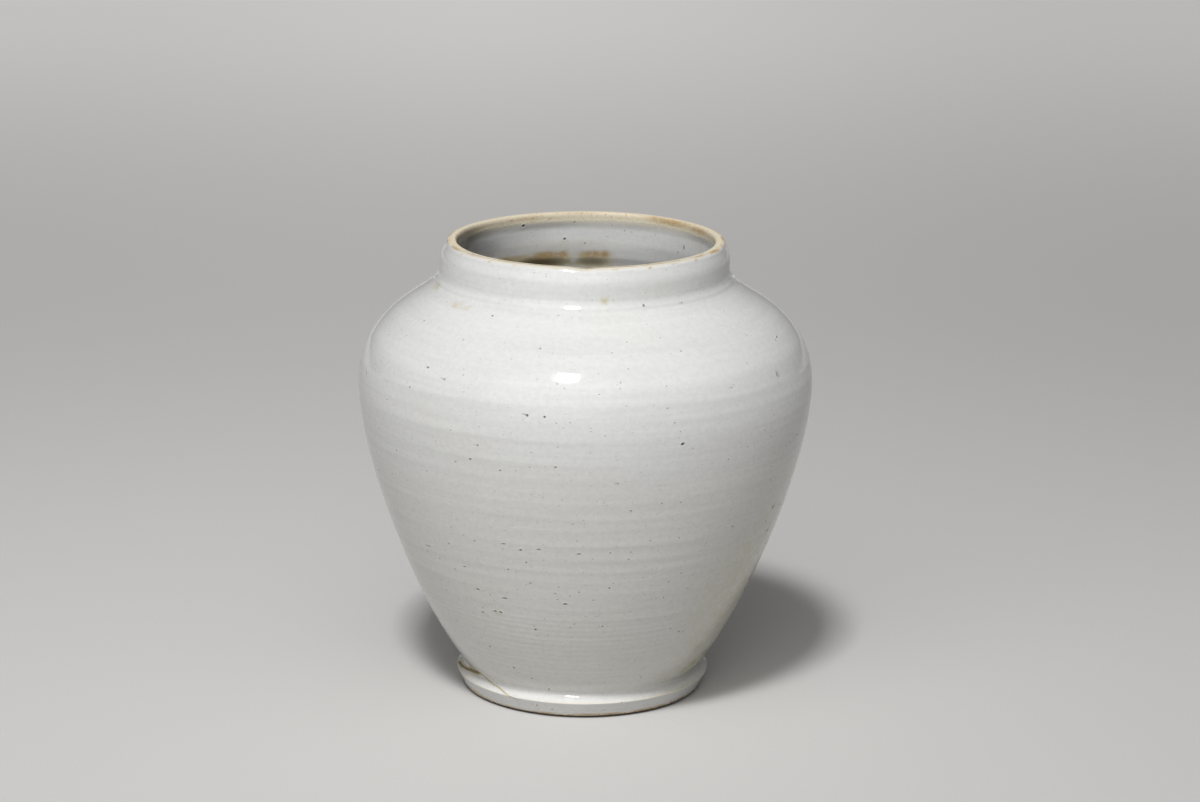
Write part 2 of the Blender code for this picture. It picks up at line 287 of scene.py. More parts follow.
# %% Ridges on the outside
RIDGES = {
    169.3: 0.035, 160.4: 0.085, 153.9: 0.085, 145.3: 0.04, 134.9: 0.045, 126.0: 0.03, 121.0: 0.025,
    116.4: 0.035, 108.2: 0.04, 102.5: 0.03, 94.2: 0.06, 87.5: 0.035, 81.1: 0.06, 75.6: 0.03,
    68.8: 0.045, 61.1: 0.04, 55.0: 0.03, 181.8: 0.045, 192.6: 0.05,
}
RIDGE_WIDTH = 1.7 * MM
RIDGE_WAVER = 0.5 * MM
RIDGE_STRENGTH = 1.25
RIDGE_UNEVENNESS = 0.5
TURNED_ZONE = (14, 24, 50, 64)
TURNING_PITCH = 2.75 * MM
TURNING_DEPTH = 0.022 * MM
BODY_ZONE = (14, 30, 190, 197)
BODY_SWELL = 0.085 * MM
SKIN_ALLOWANCE = 0.2 * MM


def eased(value, start, end):
    """Nought before start and one after end, with a smooth rise between."""
    share = np.clip((value - start) / (end - start), 0, 1)
    return share * share * (3 - 2 * share)


def between(value, zone):
    """One inside a zone and nought outside it. The zone is given in millimetres, by its four bends."""
    low, low_full, high_full, high = (edge * MM for edge in zone)
    return eased(value, low, low_full) * (1 - eased(value, high_full, high))


def hump(distance, width):
    """One at no distance, falling away to both sides within about the width."""
    return np.exp(-((distance / width) ** 2))


def outside_relief(bearing, height):
    """How far the outside stands out from its smooth line, in metres. It is never above zero."""
    relief = np.full_like(height, -SKIN_ALLOWANCE)
    for number, (ridge, rise) in enumerate(RIDGES.items()):
        waver = RIDGE_WAVER * drift(bearing, height, 100 + number, 4, 400 * MM)
        unevenness = RIDGE_UNEVENNESS * drift(bearing, height, 200 + number, 5, 300 * MM)
        strength = RIDGE_STRENGTH + unevenness
        relief += rise * MM * strength * hump(height - ridge * MM - waver, RIDGE_WIDTH)
    phase = 2 * math.pi * height / TURNING_PITCH + 0.9 * drift(bearing, height, 7, 5, 200 * MM)
    relief += TURNING_DEPTH * between(height, TURNED_ZONE) * np.cos(phase)
    relief += BODY_SWELL * between(height, BODY_ZONE) * drift(bearing, height, 11, 6, 60 * MM)
    return np.minimum(relief, 0)


# %% Ridges on the inside
INSIDE_PITCH = 9 * MM
INSIDE_DEPTH = 0.16 * MM
INSIDE_ZONE = (18, 40, 188, 194)
NECK_ZONE = (196, 200, 207, 211)
NECK_RIPPLE = 0.2 * MM


def inside_relief(bearing, height):
    """Spiral of finger ridges inside, which the potter had no need to smooth."""
    spiral = 2 * math.pi * height / INSIDE_PITCH + bearing
    spiral = spiral + 0.8 * drift(bearing, height, 21, 4, 150 * MM)
    ripple = NECK_RIPPLE * between(height, NECK_ZONE) * drift(bearing, height, 23, 9, 25 * MM)
    return INSIDE_DEPTH * between(height, INSIDE_ZONE) * np.cos(spiral) + ripple


# %% [markdown]
# ## Marks of the fire
#
# Iron grains in the clay melt to dark specks, and air that escapes through the glaze leaves
# pinholes. A grain that the turning tool dragged leaves a short tear. Each mark that can be told
# apart on the front is placed by its bearing from the front, in degrees, and its height in
# millimetres. Its half width and half height follow, also in millimetres; a round one has a single
# number. The glints are pinholes whose lips catch the lamp. The sides and back get marks of the
# same kinds from a fixed seed. They could be painted, but a pinhole has a dark hollow and a bright
# lip when the light moves, so the pits and tears are real hollows. The mesh is cut finer round
# each one first.

# %% Marks on the front, by kind
PINHOLES = [
    (-13.8, 156.9, 0.53), (-26.5, 141.0, 0.37), (-28.8, 133.8, 0.49), (-33.2, 131.5, 0.33),
    (-20.8, 130.3, 0.37), (-54.8, 128.8, 0.41), (-33.5, 192.5, 0.41), (-59.5, 185.5, 0.37),
    (-38.2, 183.1, 0.29), (-48.8, 160.8, 0.41), (-57.7, 151.7, 0.37), (-37.8, 167.5, 0.33),
    (-12.8, 183.3, 0.33), (23.0, 198.1, 0.49), (39.5, 197.2, 0.33), (39.5, 164.6, 0.29),
    (50.3, 141.7, 0.33), (22.2, 153.0, 0.29), (9.2, 171.2, 0.25), (3.7, 166.6, 0.25),
    (38.2, 132.0, 0.29), (12.2, 112.2, 0.37), (20.2, 114.9, 0.29), (25.5, 114.4, 0.29),
    (8.5, 126.1, 0.29), (44.8, 96.6, 0.33), (64.0, 63.5, 0.33), (-40.8, 88.1, 0.37),
    (-31.0, 92.8, 0.33), (-16.0, 85.0, 0.37), (-46.8, 78.2, 0.37), (-21.8, 80.3, 0.33),
    (-8.2, 69.5, 0.33), (-1.0, 70.7, 0.29), (7.5, 91.2, 0.33), (13.2, 91.2, 0.29),
    (30.0, 77.0, 0.33), (25.8, 65.1, 0.29), (33.8, 67.9, 0.25), (-15.8, 48.9, 0.49),
    (6.8, 51.8, 0.37), (-37.2, 34.3, 0.41), (-29.0, 24.3, 0.45), (-22.0, 19.3, 0.33),
    (-15.2, 13.5, 0.41), (-2.5, 53.2, 0.29), (32.0, 46.6, 0.29), (36.5, 43.7, 0.37),
    (38.5, 43.2, 0.29), (-20.5, 5.5, 0.34), (-13.5, 4.1, 0.29), (18.2, 8.0, 0.33),
]
TEARS = [
    (-22.0, 93.5, 0.9, 0.35), (-17.2, 91.2, 0.7, 0.45), (-12.0, 92.3, 0.9, 0.35),
    (-1.0, 90.7, 1.0, 0.35), (-50.8, 83.1, 1.8, 0.3), (-24.8, 64.2, 1.3, 0.4),
    (-29.5, 55.9, 0.9, 0.45), (-27.5, 55.9, 0.8, 0.5), (-34.8, 53.9, 0.9, 0.4),
    (-5.2, 64.0, 0.8, 0.5), (-34.0, 66.5, 0.9, 0.4), (64.8, 98.3, 0.9, 0.8),
    (24.5, 142.7, 0.8, 0.7), (-6.8, 133.8, 0.7, 0.35), (57.5, 164.8, 0.35, 1.6),
    (-37.0, 77.5, 0.8, 0.35), (-44.8, 170.6, 0.8, 0.4), (-72.8, 157.2, 0.9, 0.6),
]
GLINTS = [(-9.5, 156.7, 0.45), (8.0, 72.8, 0.4)]
INSIDE_SPECKS = [
    (-170.5, 201.8, 0.6), (-150.0, 209.7, 0.75), (-174.5, 210.3, 0.35), (-179.8, 199.7, 0.35),
    (129.5, 202.6, 0.4, 1.1),
]

# %% Marks on the sides and the back
RANDOM_MARKS = 70
FRONT_HALF_ANGLE = 62.0


def random_marks():
    """Pinholes and tears for the sides and back, denser low down, as they are on the front."""
    draw = random.Random(64)
    holes, tears = [], []
    for number in range(RANDOM_MARKS):
        bearing = draw.uniform(FRONT_HALF_ANGLE, 360 - FRONT_HALF_ANGLE)
        height = draw.triangular(18, 192, 85)
        if number % 4 == 0:
            tears.append((bearing, height, draw.uniform(0.7, 1.5), draw.uniform(0.3, 0.5)))
        else:
            holes.append((bearing, height, draw.uniform(0.25, 0.48)))
    return holes, tears


back_holes, back_tears = random_marks()
print(f"{len(PINHOLES) + len(back_holes)} pinholes and {len(TEARS) + len(back_tears)} tears")


# %% A mark's own place and directions
def skin_place(bearing_degrees, height_mm, line, line_facing):
    """Point, outward direction, sideways direction and upward direction on a skin of the jar."""
    bearing, height = math.radians(bearing_degrees), height_mm * MM
    radius = np.interp(height, line[:, 1], line[:, 0])
    out = np.interp(height, line[:, 1], line_facing[:, 0])
    rise = np.interp(height, line[:, 1], line_facing[:, 1])
    around = np.array([math.sin(bearing), -math.cos(bearing), 0])
    face = around * out + np.array([0, 0, rise])
    face = face / np.linalg.norm(face)
    side = np.array([math.cos(bearing), math.sin(bearing), 0])
    lift = np.cross(side, face)
    return around * radius + np.array([0, 0, height]), face, side, lift * np.sign(lift[2] or 1)


def mark_places(marks, line, line_facing):
    """Each mark as its place on the skin and its half width and half height in metres."""
    placed = []
    for bearing, height, *sizes in marks:
        place = skin_place(bearing, height, line, line_facing)
        placed.append((*place, sizes[0] * MM, sizes[-1] * MM))
    return placed


HOLES = mark_places(PINHOLES + GLINTS + back_holes, OUTSIDE, OUTSIDE_FACING)
DRAGS = mark_places(TEARS + back_tears, OUTSIDE, OUTSIDE_FACING)
SPECKS = mark_places(INSIDE_SPECKS, INSIDE, INSIDE_FACING)

# %% [markdown]
# ## The crack along the foot
#
# The foot ring shrank away from the bowl a little in the fire, and a crack opened that runs from the
# left of the waist down across the foot's slope to its edge. It gapes at its left end, which is called
# the crevice here. Old dirt has turned it yellow and brown. A boolean cut could make it, but a groove
# pressed into the same skin keeps its soft, glazed lips. Its path is given as points.

# %% The crack's path
CRACK = [
    (-88.0, 8.9), (-81.2, 9.5), (-72.5, 10.4), (-63.2, 11.7), (-57.7, 12.3), (-51.5, 11.2),
    (-46.0, 10.3), (-42.0, 9.9), (-38.0, 9.0), (-34.0, 8.0), (-30.5, 6.8), (-28.5, 6.2),
]
CRACK_STEP = 0.3 * MM
AT_ONCE = 4000
CRACK_DEPTH = 0.14 * MM
CRACK_WIDTH = 0.22 * MM
CREVICE_FADE = (math.radians(-62), math.radians(-54))
CREVICE_DEPTH = 0.5 * MM
CREVICE_WIDTH = 0.25 * MM
CREVICE_STAIN = 1.75
CREVICE_STAIN_WIDTH = 1.15 * MM
CREVICE_IRON = 0.5
CREVICE_IRON_WIDTH = 0.3 * MM
GOLD_WIDTH = 0.36 * MM
GOLD_FADE = (math.radians(-34), math.radians(-27))


def crack_points():
    """Points close together along the crack, on the outside of the jar."""
    corners = np.array([skin_place(*corner, OUTSIDE, OUTSIDE_FACING)[0] for corner in CRACK])
    run = np.concatenate([[0], np.cumsum(np.linalg.norm(np.diff(corners, axis=0), axis=1))])
    places = np.arange(0, run[-1], CRACK_STEP)
    points = np.column_stack([np.interp(places, run, corners[:, i]) for i in range(3)])
    wander = 0.08 * MM * np.sin(places / (2.3 * MM)) + 0.03 * MM * np.sin(places / (0.7 * MM))
    points[:, 2] += wander
    return points


CRACK_LINE = crack_points()
print(f"crack {len(CRACK_LINE) * CRACK_STEP / MM:.0f} mm long")


def crack_gap(places, reach):
    """Distance to the crack, for places that are within reach of it."""
    gap = np.full(len(places), reach)
    low, high = CRACK_LINE.min(axis=0) - reach, CRACK_LINE.max(axis=0) + reach
    near = np.flatnonzero(((places > low) & (places < high)).all(axis=1))
    for start in range(0, len(near), AT_ONCE):
        some = near[start:start + AT_ONCE]
        distance = np.linalg.norm(places[some][:, None] - CRACK_LINE[None], axis=2).min(axis=1)
        gap[some] = np.minimum(distance, reach)
    return gap


# %% [markdown]
# ## Turning a member
#
# A member is its section spun once round the axis, which is what the wheel does. A screw modifier
# could turn it too, but the spin operator works on a bmesh, which can carry numbers. Each section
# point carries three: the side that it belongs to, 1 for the outside, -1 for the inside and 0 for
# a hidden seam, and how far it faces outwards and upwards. The spin copies them to all the vertices
# that it makes, and they say later where the relief goes.

# %% The wheel
SEGMENTS = 256
OUTER_ROW = 0.85 * MM
LIP_ROW = 0.35 * MM
INNER_ROW = 3.2 * MM
SHARP_ANGLE = math.radians(38)
MERGE_GAP = 0.005 * MM
LAYERS = ("side", "face_out", "face_up")


def stretch(line, side):
    """Part of a section: its points, each with its side and the direction that it faces."""
    if side == 0:
        return [(*point, 0.0, 0.0, 0.0) for point in line]
    whole, whole_facing = (OUTSIDE, OUTSIDE_FACING) if side > 0 else (INSIDE, INSIDE_FACING)
    facings = np.column_stack([np.interp(line[:, 1], whole[:, 1], whole_facing[:, i]) for i in (0, 1)])
    return [(*point, side, *face) for point, face in zip(line, facings)]


def flat(line, side, face_up):
    """Part of a section without ridges: ground face, bevel, bore, the lip's land or a floor."""
    return [(*point, side, 0.0, face_up) for point in line]


def spin(section, closed):
    """Mesh of a section turned once round the jar's axis, with the section's numbers on it."""
    shape = bmesh.new()
    layers = [shape.verts.layers.float.new(name) for name in LAYERS]
    ring = []
    for radius, height, *numbers in section:
        vert = shape.verts.new((radius, 0, height))
        for layer, number in zip(layers, numbers):
            vert[layer] = number
        ring.append(vert)
    pairs = list(zip(ring, ring[1:]))
    if closed:
        pairs.append((ring[-1], ring[0]))
    edges = [shape.edges.new(pair) for pair in pairs]
    bmesh.ops.spin(
        shape, geom=ring + edges, cent=(0, 0, 0), axis=(0, 0, 1), angle=2 * math.pi,
        steps=SEGMENTS, use_merge=True,
    )
    bmesh.ops.remove_doubles(shape, verts=shape.verts, dist=MERGE_GAP)
    bmesh.ops.recalc_face_normals(shape, faces=shape.faces)
    for edge in shape.edges:
        edge.smooth = edge.calc_face_angle(0) < SHARP_ANGLE
    return shape


# %% Cut the mesh finer round the marks
FINE_EDGE = 0.34 * MM
MOST_CUTS = 7
MARK_REACH = 1.9
MARK_MARGIN = (0.7 * MM, 0.4 * MM)
LARGEST_MARK = 6 * MM
CRACK_REACH = 1.1 * MM
LEVEL_EDGE = 0.02 * MM


def near_marks(centres, low, high, side):
    """Which face centres lie close to a mark or to the crack."""
    near = np.zeros(len(centres), bool)
    kinds = (HOLES + DRAGS) if side > 0 else SPECKS
    for point, _, sideways, lift, width, tall in kinds:
        if low - 2 * MM < point[2] < high + 2 * MM:
            away = centres - point
            across = np.abs(away @ sideways) / (width * MARK_REACH + MARK_MARGIN[0])
            above = np.abs(away @ lift) / (tall * MARK_REACH + MARK_MARGIN[1])
            near |= (across < 1) & (above < 1) & (np.linalg.norm(away, axis=1) < LARGEST_MARK)
    if side > 0:
        near |= crack_gap(centres, CRACK_REACH) < CRACK_REACH
    return near


def cut_finer(shape):
    """Cuts the level edges near marks, then the others, so that a small pit has a round wall."""
    side_layer = shape.verts.layers.float["side"]
    heights = [vert.co.z for vert in shape.verts]
    for along_ring in (True, False):
        faces = list(shape.faces)
        centres = np.array([face.calc_center_median() for face in faces])
        sides = [sum(vert[side_layer] for vert in face.verts) / len(face.verts) for face in faces]
        chosen = np.zeros(len(faces), bool)
        for side in (1, -1):
            on_side = np.flatnonzero(np.array(sides) * side > 0.6)
            if len(on_side):
                near = near_marks(centres[on_side], min(heights), max(heights), side)
                chosen[on_side[near]] = True
        edges = {edge for face, take in zip(faces, chosen) if take for edge in face.edges}
        by_cuts = {}
        for edge in edges:
            cuts = round(edge.calc_length() / FINE_EDGE) - 1
            level_edge = abs(edge.verts[0].co.z - edge.verts[1].co.z) < LEVEL_EDGE
            if level_edge == along_ring and cuts > 0:
                by_cuts.setdefault(min(cuts, MOST_CUTS), []).append(edge)
        for cuts, some in sorted(by_cuts.items()):
            bmesh.ops.subdivide_edges(shape, edges=some, cuts=cuts, use_grid_fill=True)


# %% [markdown]
# ## Laying the marks into the skin
#
# Every vertex of the outside is moved along the direction that it faces: in at a pit, out at the small
# lip round it. At the same time each vertex is given numbers that the materials will read: how dark it
# is with iron and with painted shade, how rusty, how golden with old dirt, how stained, partly with
# painted shade, how thin the glaze lies, and how far it is from the edge of the glaze on the wiped lip
# and foot.

# %% Hollows and colours of the marks
HOLE_DEPTH = 0.8
HOLE_DARKNESS = 0.95
TEAR_DEPTH = 0.9
TEAR_DARKNESS = 0.7
TEAR_TILT = 0.35
SPECK_DEPTH = 0.3
SPECK_DARKNESS = 0.9
LIP_OF_HOLE = 0.16
LIP_RING = (1.6, 0.5)
DARK_REACH = 1.05


def marked(places, kinds, depth_share, darkness, tilt=0.0):
    """Depth and darkness that a list of marks gives to each place on the skin."""
    depth = np.zeros(len(places))
    dark = np.zeros(len(places))
    for point, _, sideways, lift, width, tall in kinds:
        away = places - point
        near = np.flatnonzero(np.linalg.norm(away, axis=1) < 4 * max(width, tall))
        if not len(near):
            continue
        across = away[near] @ sideways / width
        above = away[near] @ lift / tall
        out = np.sqrt(across**2 + above**2)
        size = min(width, tall)
        lip = LIP_OF_HOLE * size * hump(out - LIP_RING[0], LIP_RING[1])
        pit = -depth_share * size * np.exp(-(out**3)) + lip
        depth[near] += pit * (1 + tilt * np.sign(above))
        dark[near] = np.maximum(dark[near], darkness * np.exp(-((out / DARK_REACH) ** 4)))
    return depth, dark


# %% [markdown]
# ## Bare lip and foot
#
# A jar is fired standing on its foot, and this one carried something on its lip, so the glaze
# was wiped off both. In front it still covers half of the lip's flat land, and at the sides and
# the back it ends half a millimetre below it. The edge of the glaze wanders, and at the left of
# the foot a scar reaches higher. Each vertex gets its distance to that edge, positive on the bare
# clay, and the material makes the fine ragged border from it, because a border drawn in the mesh
# alone would be as coarse as its faces.

# %% Distance to the edge of the glaze
LIP_WIPED_FRONT = 1.35 * MM
LIP_WIPED_SIDES = -0.55 * MM
LIP_WIPED_INSIDE = 211.6 * MM
LIP_FRONT_ANGLE = math.radians(62)
GLAZE_WANDER = 0.25 * MM
INSIDE_WANDER = 1.1 * MM
INSIDE_FADE = 0.3
FOOT_WIPED = 1.75 * MM
BARE_SCAR = (-62.0, 1.6)
SCAR_ANGLE = math.radians(5)
FULLY_GLAZED = -9.0
BURNT_EDGE_WIDTH = 0.45
# The bevel under the foot is painted near black as the shade in the gap beneath it.
BEVEL_PAINTED_SHADE = 0.97
BEVEL_FADE = (0.1 * MM, 0.6 * MM)


def wiped(bearing, height, radius, side):
    """Distance from the glaze's edge in millimetres, positive where the clay is bare."""
    frontness = hump(bearing, LIP_FRONT_ANGLE)
    outside_edge = LIP_WIPED_SIDES + (LIP_WIPED_FRONT - LIP_WIPED_SIDES) * frontness
    outside_edge = outside_edge + GLAZE_WANDER * drift(bearing, 0 * height, 31, 9, 1)
    at_top = height > HEIGHT - 0.01 * MM
    on_land = np.where(at_top, np.maximum(LAND[1] - radius, 0), height - HEIGHT)
    inside_edge = LIP_WIPED_INSIDE + INSIDE_WANDER * drift(bearing, height, 33, 5, 1)
    lip = np.where(side > 0, on_land - outside_edge, (height - inside_edge) * INSIDE_FADE) / MM
    foot_edge = FOOT_WIPED + GLAZE_WANDER * drift(bearing, height, 35, 8, 1)
    scar_turn = np.abs(np.angle(np.exp(1j * (bearing - math.radians(BARE_SCAR[0])))))
    foot_edge = foot_edge + BARE_SCAR[1] * MM * hump(scar_turn, SCAR_ANGLE)
    foot = (foot_edge - height) / MM
    return np.maximum(np.maximum(lip, foot), FULLY_GLAZED)


# %% [markdown]
# ## Stains and painted shade
#
# Tea-coloured stains sit in the crease under the neck and low on the right, where the broad patch is
# partly painted warm shade. Inside, rust and water have left a broken orange streak on the throat's
# seam, with a deep brown one under it that is partly painted shade on the underside of the shoulder.
# Painted shade greys the throat and all that is below it, and the left of the wall under the rim. The
# hollow over the foot is darkened with painted shade, seen only at the sides and carried on round the
# back. Where glaze ran off the foot's sharp edge, the clay shows through as a yellow line. Noise alone
# could not put stains where they are, so each is a soft patch with a bearing, a height, a half width, a
# half height and a strength. A stain's strength over one turns it from tea to deep brown.

# %% Places of the stains, the painted shade and thin glaze
STAINS_AND_SHADE = [
    (-74.8, 195.9, 4.0, 2.2, 0.9), (-51.5, 193.4, 3.6, 2.0, 0.95), (-46.5, 193.0, 2.0, 1.4, 0.7),
    (7.8, 200.8, 1.7, 1.8, 1.0), (59.0, 19.0, 6.5, 5.0, 1.15), (54.0, 29.0, 6.0, 5.0, 0.7),
    (45.0, 35.5, 4.0, 3.0, 0.5), (64.0, 22.5, 3.0, 3.5, 1.3), (54.0, 16.5, 4.0, 2.5, 1.0),
    (70.0, 22.0, 7.0, 6.0, 1.0), (40.0, 17.0, 6.0, 3.5, 0.4),
    # The broad patch at 67 degrees is partly a stain and partly painted warm shade on the jar's shaded
    # side.
    (-29.0, 55.4, 2.2, 1.4, 0.4), (67.0, 58.0, 34.0, 50.0, 0.65), (-80.0, 45.0, 16.0, 24.0, 0.22),
    (140.0, 40.0, 9.0, 8.0, 0.35), (-128.0, 26.0, 7.0, 5.0, 0.4), (163.0, 194.0, 5.0, 2.0, 0.45),
    (-155.0, 120.0, 12.0, 9.0, 0.18),
]
STREAKS = [
    (-147.0, 194.0, 8.5, 1.3, 0.7), (-162.5, 194.3, 8.5, 1.8, 1.0), (-169.5, 194.3, 3.2, 1.9, 1.05),
    (176.5, 194.4, 7.5, 1.8, 0.95), (171.5, 194.5, 3.0, 1.9, 1.1), (138.0, 214.0, 14.0, 1.9, 1.0),
    (118.0, 213.4, 9.0, 1.6, 0.8), (-176.0, 214.6, 12.0, 0.7, 0.4), (-152.0, 213.6, 9.0, 1.0, 0.45),
    (-118.0, 212.8, 9.0, 1.4, 0.4),
]
LIP_SPECKS = [
    (-29.0, 214.3, 0.7, 0.6, 0.9), (26.5, 214.2, 0.9, 0.6, 1.0), (51.0, 214.2, 0.9, 0.7, 1.0),
    (-42.0, 214.2, 1.0, 0.6, 0.6), (-61.0, 214.0, 0.9, 0.7, 0.5), (12.0, 214.5, 1.6, 0.4, 0.6),
    (-12.0, 214.5, 1.2, 0.4, 0.5), (38.0, 214.4, 1.4, 0.4, 0.6),
]
# A deep brown stain under the throat's streak, which also stands for painted shade on the underside of
# the shoulder.
BROWN_STAIN_AND_SHADE = [
    (-159.0, 191.0, 18.0, 4.2, 1.95), (-140.0, 191.7, 11.0, 4.0, 1.85), (177.0, 190.8, 11.0, 3.6, 1.6),
    (-168.0, 199.0, 30.0, 2.6, 0.3),
]
# Painted shade on the left of the inside wall under the rim.
INSIDE_PAINTED_SHADE = [
    (-110.0, 206.5, 14.0, 7.5, 0.5), (-124.0, 200.0, 15.0, 7.0, 0.45), (-93.0, 209.0, 9.0, 6.0, 0.35),
]
# Painted shade that greys the throat and all below it.
THROAT_PAINTED_SHADE = 0.3
THROAT_FADE = (191 * MM, 203 * MM)
# Painted shade in the hollow over the foot, at the sides and round the back.
COVE_PAINTED_SHADE = 0.5
COVE_SHADE_HEIGHT = 12.3 * MM
COVE_SHADE_WIDTH = 1.5 * MM
COVE_SHADE_RIGHT = (math.radians(34), math.radians(66))
COVE_SHADE_LEFT = (math.radians(80), math.radians(96))
THIN_EDGE_WIDTH = 0.3 * MM
THIN_LIP = (0.7, 0.6 * MM)
THIN_INSIDE = (0.8, 2.2 * MM)


def patches(places, spots, line, line_facing):
    """Strength of a list of soft patches at each place."""
    strength = np.zeros(len(places))
    for bearing, height, wide, tall, most in spots:
        point, _, sideways, lift = skin_place(bearing, height, line, line_facing)
        away = places - point
        near = np.linalg.norm(away, axis=1) < 3 * max(wide, tall) * MM
        out = (away @ sideways / (wide * MM)) ** 2 + (away @ lift / (tall * MM)) ** 2
        strength = np.maximum(strength, near * most * np.exp(-(out**1.5)))
    return strength


def cove_painted_shade(bearing, height):
    """Painted shade in the hollow over the foot, from the right side round the back to the crack."""
    round_back = np.maximum(eased(bearing, *COVE_SHADE_RIGHT), eased(-bearing, *COVE_SHADE_LEFT))
    return COVE_PAINTED_SHADE * round_back * hump(height - COVE_SHADE_HEIGHT, COVE_SHADE_WIDTH)


def thin_glaze(bearing, height, side):
    """Where the glaze has run thin: the foot's sharp edge and both sides of the lip."""
    edge = hump(height - FOOT_EDGE[1] - THIN_EDGE_WIDTH / 2, THIN_EDGE_WIDTH) * (side > 0)
    edge = edge * np.clip(0.6 + 0.5 * drift(bearing, height, 41, 6, 1), 0.15, 1)
    lip = THIN_LIP[0] * hump(height - HEIGHT, THIN_LIP[1]) * (side > 0)
    inner = THIN_INSIDE[0] * hump(height - LIP_WIPED_INSIDE, THIN_INSIDE[1]) * (side < 0)
    return np.clip(np.maximum.reduce([edge, lip, inner]), 0, 1)


# %% [markdown]
# ## The lip
#
# The lip is the last thing the potter's fingers leave. It dips and rises by a quarter of a
# millimetre, and at the front there is a shallow notch where it was knocked or trimmed. A small
# nib of slip stands out of the crease at the right, where the neck was joined. A notch could be cut
# out, but this one has soft sides, so the lip is pressed down there. The notch and the waves only
# go downwards, so the lip's highest point stays where the CAD model has it. The notch's three
# numbers are its place, half width and depth. The nib's are its bearing and height, and its half
# width, half height and how far it stands out. All but the bearing are millimetres.

# %% Notch, nib and waves of the lip
NOTCH = (0.4, 5.2, 0.6)
NIB = (89.0, 197.8, 1.2, 1.1, 1.1)
NIB_REACH = 8 * MM
LIP_DEPTH = 8 * MM
LIP_WAVE = 0.12 * MM


def shape_of_lip(places, bearing):
    """How far each place moves down at the lip."""
    rise = eased(places[:, 2], HEIGHT - LIP_DEPTH, HEIGHT)
    waves = LIP_WAVE * (1 + np.clip(drift(bearing, 0 * bearing, 51, 6, 1), -1, 1))
    middle, half_width, depth = (size * MM for size in NOTCH)
    notch = depth * hump(places[:, 0] - middle, half_width) * (places[:, 1] < 0)
    return -rise * (waves + notch)


def shape_of_nib(places):
    """How far each place stands out at the nib of slip in the crease."""
    bearing, height, *sizes = NIB
    half_width, half_height, rise = (size * MM for size in sizes)
    nib_place, _, sideways, lift = skin_place(bearing, height, OUTSIDE, OUTSIDE_FACING)
    away = places - nib_place
    out = (away @ sideways / half_width) ** 2 + (away @ lift / half_height) ** 2
    return rise * np.exp(-out) * (np.linalg.norm(away, axis=1) < NIB_REACH)


# %% Give a member its surface
ATTRIBUTES = ("iron_and_shade", "rust", "gold", "stain_and_shade", "thin", "wiped")
LEVEL_FACE = 0.02


